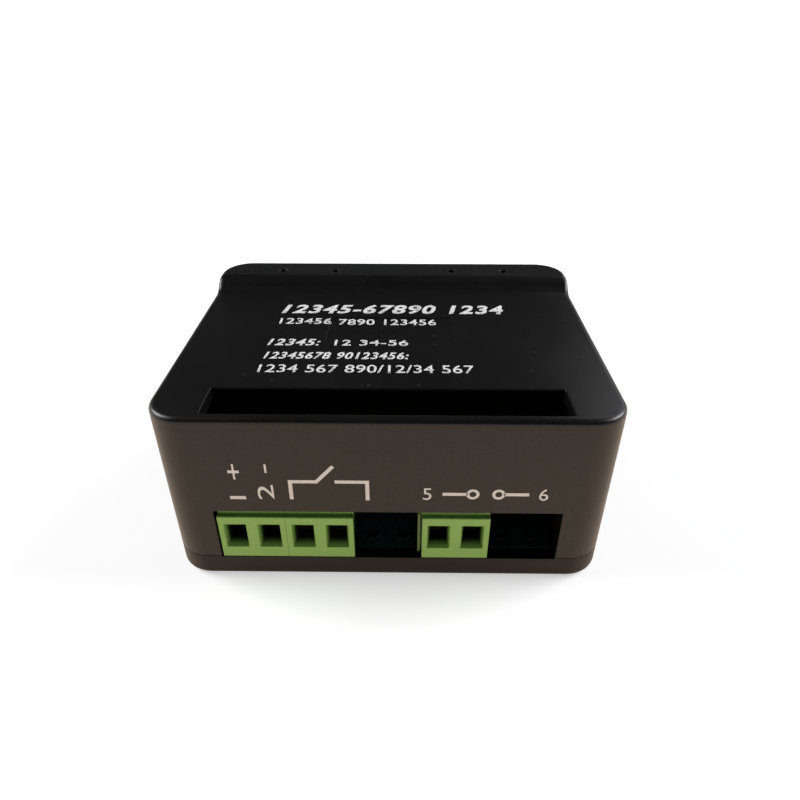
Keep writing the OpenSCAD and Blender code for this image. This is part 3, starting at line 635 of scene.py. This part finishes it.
def baseFurniture():
    joint, low = cover["joint"], base["floor"] / 2
    radius, lip = case["pillarRadius"], base["lip"]
    post, peg, step = case["postRadius"], base["pegRadius"], base["boardBottom"]
    profile = [(post, low), (post, step), (peg, step), (peg, base["pegTop"])]
    solids = columns("pillar", radius, low, joint, pillarPlaces)
    solids += [latheSolid("peg", profile, place) for place in postPlaces]
    top = joint + base["lipRise"]
    outer = case["width"] / 2 - case["wall"] - base["lipGap"]
    rear = backY - case["wall"] - base["lipGap"]
    sideHalf = case["pillarY"] - radius - base["lipEndGap"]
    rearHalf = case["pillarX"] - radius - base["lipEndGap"]
    for x0, y0, x1, y1 in (
        (outer - lip, -sideHalf, outer, sideHalf), (-outer, -sideHalf, lip - outer, sideHalf),
        (-rearHalf, rear - lip, rearHalf, rear),
    ):
        solids.append(blockSolid("lip", (x0, y0, low), (x1, y1, top)))
    return joinSolids("furniture", solids)


def baseCuts():
    joint, half = cover["joint"], case["windowHalf"]
    head, shaft, depth = base["headHole"], base["shaftHole"], base["headDepth"]
    cuts = [blockSolid(
        "sill", (-half, frontY - overcut, joint - base["sillDrop"]),
        (half, frontY + case["wall"] + overcut, joint + overcut))]
    profile = [(head + base["holeRim"], -overcut)]
    profile += [(head + grow, down) for down, grow in rimProfile(base["holeRim"])]
    profile += [(head, depth), (shaft, depth), (shaft, joint + overcut)]
    cuts += [latheSolid("headHole", profile, place, base["holeSteps"]) for place in pillarPlaces]
    return joinSolids("cuts", cuts)


def makeBase():
    tray = baseShell()
    hollow(tray, base["floor"], cover["joint"] + 2 * overcut)
    combine(tray, "UNION", baseFurniture())
    combine(tray, "DIFFERENCE", baseCuts())
    dress(tray, "base", "baseBlack")
    print("base:", len(tray.data.polygons), "faces")


makeBase()


# Terminal blocks, their screws and clamps

terminal = {
    "edge": 0.10,
    "noseEdge": 0.24,  # top edge of the front face
    "noseTop": 8.1,
    "noseSteps": 3,
    "level": 0.01,  # how near a place counts as on it
    "showDepth": 3.0,  # only edges this near the face, or this high, are softened
    "shortest": 0.3,
    "seams": {-15.29: 0.03, -15.19: -0.03},  # facing sides of the two locked blocks, drawn together
    "seamNear": 0.02,
    "seamPlane": 0.002,
    "screwEdge": 0.12,
    "screwHead": 2.0,
    "clampEdge": 0.08,
    "clampShortest": 0.4,
}


def makeBlock(number):
    node = "terminal_block_%d" % number
    low, high = boxOf(node)
    block = cadCopy("terminalBlock%d" % number, node)
    seams, level = terminal["seams"], terminal["level"]

    def onSeam(a, b):
        return any(max(abs(a.x - x), abs(b.x - x)) < terminal["seamNear"] for x in seams)

    def shown(a, b):
        near = max(a.y, b.y) < low.y + terminal["showDepth"]
        above = min(a.z, b.z) > high.z - terminal["showDepth"]
        return (near or above) and not onSeam(a, b) and (a - b).length > terminal["shortest"]

    def onNose(a, b):
        return max(a.y, b.y) < low.y + level and min(a.z, b.z) > low.z + terminal["noseTop"] - level

    softenEdges(block, terminal["noseEdge"], onNose, terminal["noseSteps"])
    softenEdges(block, terminal["edge"], shown)
    for vert in block.data.vertices:
        for seam, shift in seams.items():
            if abs(vert.co.x - seam) < terminal["seamPlane"]:
                vert.co.x = seam + shift
    dress(block, node, "terminalGreen")


def makeScrewAndClamp(number):
    node = "clamp_screw_%d" % number
    screw = cadCopy("clampScrew%d" % number, node)
    headFoot = boxOf(node)[1].z - terminal["screwHead"]
    softenEdges(screw, terminal["screwEdge"], lambda a, b: min(a.z, b.z) > headFoot)
    dress(screw, node, "screwZinc", node)
    node = "wire_clamp_%d" % number
    clamp = cadCopy("wireClamp%d" % number, node)
    softenEdges(
        clamp, terminal["clampEdge"], lambda a, b: (a - b).length > terminal["clampShortest"])
    dress(clamp, node, "clampNickel", node)


for blockNumber in range(1, 4):
    makeBlock(blockNumber)
for poleNumber in range(1, 7):
    makeScrewAndClamp(poleNumber)
print("terminals made")


# Plain nodes take a finish in place

nodesByFinish = {
    "screwZinc": ["case_screws"], "boardGreen": ["main_board"], "radioBlack": ["radio_board"],
    "clampNickel": ["terminal_contacts", "relay_pins"], "relayBlue": ["relay_cover", "relay_base"],
    "bobbinIvory": ["relay_coil"], "yokeIron": ["relay_yoke", "relay_armature"], "shieldTin": ["radio_shield"],
    "canSleeve": ["input_capacitor", "output_capacitor"], "ferriteGrey": ["power_inductor"],
    "ceramicTan": ["chip_parts"], "lightGreen": ["status_light"],
    "chipBlack": ["regulator", "diodes", "sensor_isolator", "pairing_switch", "pairing_button"],
}
for finish, finishNodes in nodesByFinish.items():
    for node in finishNodes:
        nodes[node].data.materials.clear()
        nodes[node].data.materials.append(finishes[finish])


# Print on the case, laid out in millimetres on each face

printSizes = {
    "film": 0.012,
    "capShare": 0.729,  # height of a capital as a share of the type's size
    "weightSpacing": 3.0,
    "front": {
        "poles": (("1 +", -21.55, 15.75, 22.2), ("2 -", -17.45, 15.75, 22.2)),
        "poleHeight": 2.3,
        "line": 0.56,
        "strokes": (
            ((-13.8, 15.8), (-13.8, 19.1), (-10.06, 19.1), (-7.56, 21.9)),
            ((-7.45, 19.1), (-2.85, 19.1), (-2.85, 15.7)),
        ),
        "sensor": (("5", 5.1, 15.9), ("6", 21.75, 15.9)),
        "sensorHeight": 2.15,
        "sensorStrokes": (((7.9, 16.97), (11.5, 16.97)), ((16.7, 16.97), (20.3, 16.97))),
        "sensorRings": ((12.25, 16.97), (15.95, 16.97)),
        "ringRadius": 0.72,
        "ringShare": 0.8,  # its line against the other lines
    },
    "top": (
        # figures, left end, right end, distance behind the front, height, weight, slant
        ("12345-67890 1234", -19.5, 19.9, 35.0, 3.5, 0.045, 0.22),
        ("123456 7890 123456", -19.2, 7.7, 30.0, 2.2, 0.02, 0.0),
        ("12345:", -19.8, -11.3, 22.2, 2.2, 0.035, 0.2),
        ("12 34-56", -9.0, 2.9, 22.2, 2.2, 0.012, 0.0),
        ("12345678 90123456:", -19.6, 3.0, 17.8, 2.15, 0.035, 0.2),
        ("1234 567 890/12/34 567", -19.7, 12.8, 13.7, 2.3, 0.012, 0.0),
    ),
}


def textFaces(words, height, bold=0.0, slant=0.0, spacing=1.0):
    # flat faces of a line of figures, cap height as given, left end at the origin
    curve = bpy.data.curves.new("figures", "FONT")
    curve.body = words
    curve.size = height / printSizes["capShare"]
    curve.offset = bold * height
    curve.shear = slant
    curve.space_character = spacing
    curve.resolution_u = 6
    holder = addObject("figures", curve)
    mesh = evaluatedMesh(holder)
    bpy.data.objects.remove(holder)
    bpy.data.curves.remove(curve)
    bm = bmesh.new()
    bm.from_mesh(mesh)
    bpy.data.meshes.remove(mesh)
    shift = min(v.co.x for v in bm.verts)
    bmesh.ops.translate(bm, vec=(-shift, 0, 0), verts=bm.verts)
    tall = height / max(v.co.y for v in bm.verts)
    bmesh.ops.scale(bm, vec=(tall, tall, 1), verts=bm.verts)
    return bm


def fitLine(bm, start, end):
    # stretches a line of figures between two places along x
    width = max(v.co.x for v in bm.verts)
    bmesh.ops.scale(bm, vec=((end - start) / width, 1, 1), verts=bm.verts)
    bmesh.ops.translate(bm, vec=(start, 0, 0), verts=bm.verts)


def addFaces(target, source):
    mesh = bpy.data.meshes.new("part")
    source.to_mesh(mesh)
    source.free()
    target.from_mesh(mesh)
    bpy.data.meshes.remove(mesh)


def strokeFaces(bm, points, width, sharpest=0.4):
    # flat band of even width along a line of points, mitred at its bends
    path = [Vector(p) for p in points]
    sides = []
    for i, here in enumerate(path):
        before = (here - path[i - 1]).normalized() if i else None
        after = (path[i + 1] - here).normalized() if i + 1 < len(path) else None
        along = ((before or after) + (after or before)).normalized()
        across = Vector((-along.y, along.x))
        if before and after:
            across /= max(across.dot(Vector((-after.y, after.x))), sharpest)
        sides.append((here + across * width / 2, here - across * width / 2))
    loops = [[bm.verts.new((p.x, p.y, 0)) for p in pair] for pair in sides]
    for (a, b), (c, d) in zip(loops, loops[1:]):
        bm.faces.new((b, d, c, a))


def ringMark(bm, centre, radius, width, steps=24):
    inner, outer = (
        [bm.verts.new(p) for p in circlePoints(centre, r, 0, steps)]
        for r in (radius - width / 2, radius + width / 2)
    )
    ringFaces(bm, inner, outer)


def filmSolid(name, bm, place, film, finish="printWhite"):
    # gives a flat mark its thickness and lays it on its face
    for face in bm.faces:
        face.normal_update()
        if face.normal.z < 0:
            face.normal_flip()
    sheet = bmesh.ops.extrude_face_region(bm, geom=bm.faces[:])
    lifted = [part for part in sheet["geom"] if isinstance(part, bmesh.types.BMVert)]
    lying = set(bm.verts) - set(lifted)
    bmesh.ops.translate(bm, vec=(0, 0, film / 2), verts=lifted)
    bmesh.ops.translate(bm, vec=(0, 0, -film / 2), verts=list(lying))
    bmesh.ops.recalc_face_normals(bm, faces=bm.faces)
    bmesh.ops.transform(bm, matrix=place, verts=bm.verts)
    mark = linkMesh(name, bm)
    toMetres(mark)
    mark.data.materials.append(finishes[finish])
    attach(mark, "case")


def makeFrontPrint():
    front = printSizes["front"]
    bm = bmesh.new()
    for words, x, low, high in front["poles"]:
        line = textFaces(words, front["poleHeight"])
        fitLine(line, low, high)
        turn = Matrix(((0, -1, 0, 0), (1, 0, 0, 0), (0, 0, 1, 0), (0, 0, 0, 1)))
        shift = Matrix.Translation((x + front["poleHeight"] / 2, 0, 0))
        bmesh.ops.transform(line, matrix=shift @ turn, verts=line.verts)
        addFaces(bm, line)
    for words, x, z in front["sensor"]:
        figure = textFaces(words, front["sensorHeight"])
        bmesh.ops.translate(figure, vec=(x, z, 0), verts=figure.verts)
        addFaces(bm, figure)
    for points in front["strokes"] + front["sensorStrokes"]:
        strokeFaces(bm, points, front["line"])
    for centre in front["sensorRings"]:
        ringMark(bm, centre, front["ringRadius"], front["line"] * front["ringShare"])
    facing = Matrix.Translation((0, frontY, 0)) @ Matrix.Rotation(radians(90), 4, "X")
    filmSolid("frontPrint", bm, facing, printSizes["film"])


def sinkIntoInset(bm):
    # splits the print at the inset's border and lowers what lies inside
    half = cover["insetWidth"] / 2
    low = frontY + cover["insetStart"]
    high = low + cover["insetDepth"]
    acrossX, acrossY = (1, 0, 0), (0, 1, 0)
    borders = (
        ((-half, 0, 0), acrossX), ((half, 0, 0), acrossX), ((0, low, 0), acrossY), ((0, high, 0), acrossY))

    def sunk(face):
        middle = face.calc_center_median()
        return abs(middle.x) < half and low < middle.y < high

    for point, normal in borders:
        bmesh.ops.bisect_plane(
            bm, geom=bm.verts[:] + bm.edges[:] + bm.faces[:], dist=hairline, plane_co=point, plane_no=normal)
    bmesh.ops.split_edges(bm, edges=[
        edge for edge in bm.edges
        if len(edge.link_faces) == 2 and sunk(edge.link_faces[0]) != sunk(edge.link_faces[1])
    ])
    for face in bm.faces:
        if sunk(face):
            for vert in face.verts:
                vert.co.z = -cover["insetSink"]


def makeTopPrint():
    bm = bmesh.new()
    for words, start, end, back, height, weight, slant in printSizes["top"]:
        line = textFaces(words, height, weight, slant, 1.0 + printSizes["weightSpacing"] * weight)
        fitLine(line, start, end)
        bmesh.ops.translate(line, vec=(0, frontY + back - height / 2, 0), verts=line.verts)
        addFaces(bm, line)
    sinkIntoInset(bm)
    filmSolid("topPrint", bm, Matrix.Translation((0, 0, mainTop)), printSizes["film"])


makeFrontPrint()
makeTopPrint()
print("print made")


# Details that repeat along a line, grown by node trees in millimetres

rowInputs = {
    "Count": "Int", "Start": "Vector", "Step": "Vector",
    "Finish": "Material", "Seed": "Int", "Spread": "Float",
}
turnSteps = {"ring": 48, "wire": 10}


def newTree(name, inputs):
    tree = bpy.data.node_groups.new(name, "GeometryNodeTree")
    tree.is_modifier = True
    for label, kind in {**rowInputs, **inputs}.items():
        tree.interface.new_socket(name=label, in_out="INPUT", socket_type="NodeSocket" + kind)
    tree.interface.new_socket(name="Geometry", in_out="OUTPUT", socket_type="NodeSocketGeometry")
    return tree, addNode(tree, "NodeGroupInput").outputs


def closeRow(tree, given, shape):
    # the shape set along a line at slightly uneven sizes, made real and given its finish
    line = addNode(tree, "GeometryNodeMeshLine", {
        "Count": given["Count"], "Start Location": given["Start"], "Offset": given["Step"]}, mode="OFFSET")
    least = mathNode(tree, "SUBTRACT", 1.0, given["Spread"])
    uneven = addNode(tree, "FunctionNodeRandomValue", {2: least, "Seed": given["Seed"]}, data_type="FLOAT")
    spots = addNode(tree, "GeometryNodeInstanceOnPoints", {
        "Points": line.outputs["Mesh"], "Instance": shape, "Scale": uneven.outputs[1]})
    real = addNode(tree, "GeometryNodeRealizeInstances", {"Geometry": spots.outputs["Instances"]})
    paint = addNode(tree, "GeometryNodeSetMaterial", {
        "Geometry": real.outputs["Geometry"], "Material": given["Finish"]})
    addNode(tree, "NodeGroupOutput", {"Geometry": paint.outputs["Geometry"]})
    return tree


def sweep(tree, circle, section):
    return addNode(tree, "GeometryNodeCurveToMesh", {
        "Curve": circle.outputs["Curve"], "Profile Curve": section.outputs["Curve"]}).outputs["Mesh"]


def makeRingRow():
    tree, given = newTree("ringRow", {"Radius": "Float", "Band": "Float", "Height": "Float"})
    circle = addNode(tree, "GeometryNodeCurvePrimitiveCircle", {"Radius": given["Radius"]})
    section = addNode(tree, "GeometryNodeCurvePrimitiveQuadrilateral", {
        "Width": given["Band"], "Height": given["Height"]})
    return closeRow(tree, given, sweep(tree, circle, section))


def makeTurnRow():
    tree, given = newTree("turnRow", {"Radius": "Float", "Wire": "Float"})
    circle, section = (
        addNode(tree, "GeometryNodeCurvePrimitiveCircle", {"Resolution": steps, "Radius": given[label]})
        for label, steps in (("Radius", turnSteps["ring"]), ("Wire", turnSteps["wire"]))
    )
    smooth = addNode(tree, "GeometryNodeSetShadeSmooth", {"Geometry": sweep(tree, circle, section)})
    return closeRow(tree, given, smooth.outputs["Geometry"])


def makeBoxRow():
    tree, given = newTree("boxRow", {"Size": "Vector"})
    block = addNode(tree, "GeometryNodeMeshCube", {"Size": given["Size"]})
    return closeRow(tree, given, block.outputs["Mesh"])


def makeConeRow():
    tree, given = newTree("coneRow", {"Foot": "Float", "Tip": "Float", "Height": "Float"})
    cone = addNode(tree, "GeometryNodeMeshCone", {
        "Vertices": 24, "Radius Bottom": given["Foot"], "Radius Top": given["Tip"], "Depth": given["Height"]})
    return closeRow(tree, given, cone.outputs["Mesh"])


rowTrees = {"ring": makeRingRow(), "turn": makeTurnRow(), "box": makeBoxRow(), "cone": makeConeRow()}


def growRow(kind, finish, values):
    tree = rowTrees[kind]
    piece = linkMesh("row", bmesh.new())
    step = piece.modifiers.new("grow", "NODES")
    step.node_group = tree
    filled = {"Seed": 7, "Spread": 0.0, "Finish": finishes[finish], **values}
    for item in tree.interface.items_tree:
        if item.item_type == "SOCKET" and item.in_out == "INPUT":
            step[item.identifier] = filled[item.name]
    bakeModifiers(piece)
    return piece


def growRows(name, kind, finish, rows):
    piece = joinSolids(name, [growRow(kind, finish, row) for row in rows], outward=True)
    piece.data.materials.append(finishes[finish])
    toMetres(piece)
    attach(piece, "case")
    print(name + ":", len(piece.data.polygons), "faces")


board = {
    "pitch": 5.08,
    "firstPole": -22.86,
    "screwRow": -21.4,
    "boardTop": 4.1,
    "emptyPoles": (4, 8),
    "pad": {"Count": 2, "Radius": 1.02, "Band": 0.46, "Height": 0.016},
    "joint": {"Foot": 0.62, "Tip": 1.0, "Height": 0.55, "Spread": 0.08},
    "jointFoot": 1.95,
    "joints": ((0, 4), (6, 2)),  # first pole and count
    "relayJoints": (((-11.6, -3.2), 12.2, 2), ((-9.0, -12.9), 7.0, 2), ((-5.5, 3.0), 0.0, 1)),
    "castellation": {"Count": 8, "Step": (0, 2.0, 0), "Size": (0.94, 1.1, 0.82)},
    "castellationFoot": -1.2,
    "castellationInset": 0.45,
    "castellationLift": 0.03,
    "leads": (  # node, distance of a row from its middle, start of the row behind it, the row
        ("regulator", 2.4, 1.8375, {"Count": 4, "Step": (0, 1.225, 0), "Size": (1.12, 0.46, 0.32)}),
        ("sensor_isolator", 2.75, 1.6, {"Count": 2, "Step": (0, 3.2, 0), "Size": (1.12, 0.46, 0.32)}),
        ("diodes", 2.37, 3.6, {"Count": 3, "Step": (0, 3.6, 0), "Size": (0.50, 1.54, 0.34)}),
    ),
    "chipEnd": {"Count": 4, "Step": (2.5, 0, 0), "Size": (0.42, 1.29, 0.59)},
    "chipEndsAlong": (0.2, 1.8),
    "chipHalfDepth": 0.625,
    "turn": {"Count": 20, "Step": (0, 0, 0.34), "Radius": 4.7, "Wire": 0.17, "Spread": 0.006},
    "flange": 0.7,
}


def makePinRows():
    pitch, row = board["pitch"], board["screwRow"]
    pad, joint, foot = board["pad"], board["joint"], board["jointFoot"]
    padMiddle = board["boardTop"] + pad["Height"] / 2

    def poleX(pole):
        return board["firstPole"] + pole * pitch

    growRows("emptyPads", "ring", "padDark", [
        {**pad, "Start": (poleX(pole), row, padMiddle), "Step": (pitch, 0, 0)} for pole in board["emptyPoles"]
    ])
    rows = [((poleX(pole), row), pitch, count) for pole, count in board["joints"]]
    growRows("solderJoints", "cone", "padTin", [
        {**joint, "Count": count, "Start": (x, y, foot), "Step": (apart, 0, 0)}
        for (x, y), apart, count in (*rows, *board["relayJoints"])
    ])


def makeLeadRows():
    low, high = boxOf("radio_board")
    inset = board["castellationInset"]
    height = (low.z + high.z) / 2 + board["castellationLift"]
    growRows("radioPads", "box", "antennaGold", [
        {**board["castellation"], "Start": (x, board["castellationFoot"], height)}
        for x in (low.x + inset, high.x - inset)
    ])
    top = board["boardTop"]
    leads = []
    for node, reach, back, lead in board["leads"]:
        middle = sum(boxOf(node), Vector()) / 2
        for x in (middle.x - reach, middle.x + reach):
            leads.append({**lead, "Start": (x, middle.y - back, top + lead["Size"][2] / 2)})
    growRows("chipLeads", "box", "padTin", leads)
    low, high = boxOf("chip_parts")
    half, end = board["chipHalfDepth"], board["chipEnd"]
    growRows("chipEnds", "box", "padTin", [
        {**end, "Start": (low.x + along, y, top + end["Size"][2] / 2)}
        for along in board["chipEndsAlong"] for y in (low.y + half, high.y - half)
    ])


def makeCoilTurns():
    low, high = boxOf("relay_coil")
    middle, turn = (low + high) / 2, board["turn"]
    growRows("coilTurns", "turn", "copperTurns", [
        {**turn, "Start": (middle.x, middle.y, low.z + board["flange"] + turn["Wire"])}])


trace = {"film": 0.03, "line": 0.5, "folds": 6, "start": 5.2, "end": 18.8, "near": 14.4, "far": 19.8}


def makeAntenna():
    # folded trace on the free end of the wireless module
    folds = trace["folds"]
    span = (trace["end"] - trace["start"]) / (2 * folds)
    ends = (trace["near"], trace["far"])
    points = []
    for k in range(2 * folds):
        x = trace["start"] + k * span
        points += [(x, y) for y in (reversed(ends) if k % 2 else ends)]
    bm = bmesh.new()
    strokeFaces(bm, points, trace["line"])
    film = trace["film"]
    middle = boxOf("radio_board")[1].z + film / 2
    filmSolid("antenna", bm, Matrix.Translation((0, 0, middle)), film, "antennaGold")


canTop = {"rim": 0.5, "sink": 0.02, "rise": 0.02, "edge": 0.05, "edgeTop": 0.04}


def makeCanTop(name, node):
    low, high = boxOf(node)
    middle, top = (low + high) / 2, high.z
    radius = (high.x - low.x) / 2 - canTop["rim"]
    disc = latheSolid(name, [
        (radius, top - canTop["sink"]), (radius, top + canTop["rise"]),
        (radius - canTop["edge"], top + canTop["edgeTop"])], (middle.x, middle.y))
    toMetres(disc)
    disc.data.materials.append(finishes["shieldTin"])
    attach(disc, "case")


makePinRows()
makeLeadRows()
makeCoilTurns()
makeAntenna()
makeCanTop("inputCanTop", "input_capacitor")
makeCanTop("outputCanTop", "output_capacitor")
print("board details made")


# Floor, light and camera

studio = {
    "floorSize": 30.0,
    "floorDrop": 0.00002,
    "white": (1.0, 1.0, 1.0),
    "floorColour": (0.80, 0.80, 0.80),
    "warmColour": (0.76, 0.59, 0.46),  # what the object sees of the floor beside it
    "floorGlow": (0.56, 1.0),  # near the object and far from it
    "glowReach": (0.12, 0.8),
    "warmReach": (0.10, 0.35),
    "lampAim": (0, 0, 0.015),
    "lamps": {  # place, size, power and colour
        "leftLamp": ((-0.60, 0.12, 0.44), 0.36, 4.2, (1.0, 1.0, 1.0)),
        "rightLamp": ((0.60, 0.15, 0.44), 0.36, 4.2, (1.0, 1.0, 1.0)),
        "rearLamp": ((0.46, 0.62, 0.50), 0.34, 0.55, (0.96, 0.95, 1.0)),
    },
    "skyColour": (0.03, 0.031, 0.033),
    "horizonColour": (0.55, 0.55, 0.56),
    "backdropColour": (0.70, 0.70, 0.70),
    "horizonFade": (0.05, 0.22),
}
view = {
    "place": (2.463, -94.707, 77.193),
    "pitch": 32.940,
    "yaw": -0.556,
    "roll": 0.066,
    "focalPixels": 628.28,
    "imagePixels": 800,
    "sensor": 36.0,
    "clip": (0.005, 60.0),
}


def backdropRays(tree):
    path = addNode(tree, "ShaderNodeLightPath").outputs
    return mathNode(tree, "MAXIMUM", path["Is Camera Ray"], path["Is Transmission Ray"])


def makeFloor():
    half = studio["floorSize"] / 2
    bm = bmesh.new()
    plan = ((-half, -half), (half, -half), (half, half), (-half, half))
    bm.faces.new([bm.verts.new((x, y, -studio["floorDrop"])) for x, y in plan])
    floor = linkMesh("floor", bm)
    material = bpy.data.materials.new("paleFloor")
    material.use_nodes = True
    tree = material.node_tree
    tree.nodes.clear()
    away = addNode(tree, "ShaderNodeVectorMath", {0: objectSpace(tree)}, operation="LENGTH").outputs["Value"]
    plain = mathNode(tree, "MAXIMUM", backdropRays(tree), mapRange(tree, away, studio["warmReach"]))
    warm, pale = studio["warmColour"], studio["floorColour"]
    matte = addNode(tree, "ShaderNodeBsdfDiffuse", {"Color": mixColour(tree, plain, warm, pale)})
    warmGlow = tuple(w / p for w, p in zip(warm, pale))
    glow = addNode(tree, "ShaderNodeEmission", {
        "Color": mixColour(tree, plain, warmGlow, studio["white"]),
        "Strength": mapRange(tree, away, studio["glowReach"], studio["floorGlow"]),
    })
    both = addNode(tree, "ShaderNodeAddShader", {0: matte.outputs[0], 1: glow.outputs[0]})
    # clear from below, so the underside can be looked at
    clear = addNode(tree, "ShaderNodeBsdfTransparent")
    below = addNode(tree, "ShaderNodeNewGeometry").outputs["Backfacing"]
    sides = addNode(tree, "ShaderNodeMixShader", {0: below, 1: both.outputs[0], 2: clear.outputs[0]})
    addNode(tree, "ShaderNodeOutputMaterial", {"Surface": sides.outputs[0]})
    floor.data.materials.append(material)


def makeLamp(name, place, size, power, colour):
    lamp = bpy.data.lights.new(name, "AREA")
    lamp.shape = "SQUARE"
    lamp.size = size
    lamp.energy = power
    lamp.color = colour
    holder = addObject(name, lamp)
    holder.location = place
    holder.rotation_mode = "QUATERNION"
    towards = Vector(studio["lampAim"]) - Vector(place)
    holder.rotation_quaternion = towards.to_track_quat("-Z", "Y")


def makeSky():
    world = bpy.data.worlds.new("studioRoom")
    scene.world = world
    world.use_nodes = True
    tree = world.node_tree
    place = addNode(tree, "ShaderNodeTexCoord").outputs["Generated"]
    height = addNode(tree, "ShaderNodeSeparateXYZ", {0: place}).outputs["Z"]
    # mirrored rays see the pale backdrop low down and the dark ceiling above it
    glossy = addNode(tree, "ShaderNodeLightPath").outputs["Is Glossy Ray"]
    low = mixColour(tree, glossy, studio["horizonColour"], studio["backdropColour"])
    room = mixColour(tree, mapRange(tree, height, studio["horizonFade"]), low, studio["skyColour"])
    colour = mixColour(tree, backdropRays(tree), room, studio["white"])
    tree.links.new(colour, tree.nodes["Background"].inputs["Color"])


def makeCamera():
    lens = bpy.data.cameras.new("photoView")
    lens.sensor_fit = "HORIZONTAL"
    lens.sensor_width = view["sensor"]
    lens.lens = view["focalPixels"] / view["imagePixels"] * view["sensor"]
    lens.clip_start, lens.clip_end = view["clip"]
    camera = addObject("photoView", lens)
    level = Matrix(((1, 0, 0), (0, 0, -1), (0, 1, 0)))
    roll, pitch, yaw = (
        Matrix.Rotation(radians(view[turn]), 3, axis)
        for turn, axis in (("roll", "Z"), ("pitch", "X"), ("yaw", "Z"))
    )
    look = roll @ pitch @ level @ yaw
    flip = Matrix(((1, 0, 0), (0, -1, 0), (0, 0, -1)))
    place = Matrix.Translation(Vector(view["place"]) / metre)
    camera.matrix_world = place @ (look.transposed() @ flip).to_4x4()
    scene.camera = camera


makeFloor()
for lampName, lampValues in studio["lamps"].items():
    makeLamp(lampName, *lampValues)
makeSky()
makeCamera()
print("studio made")
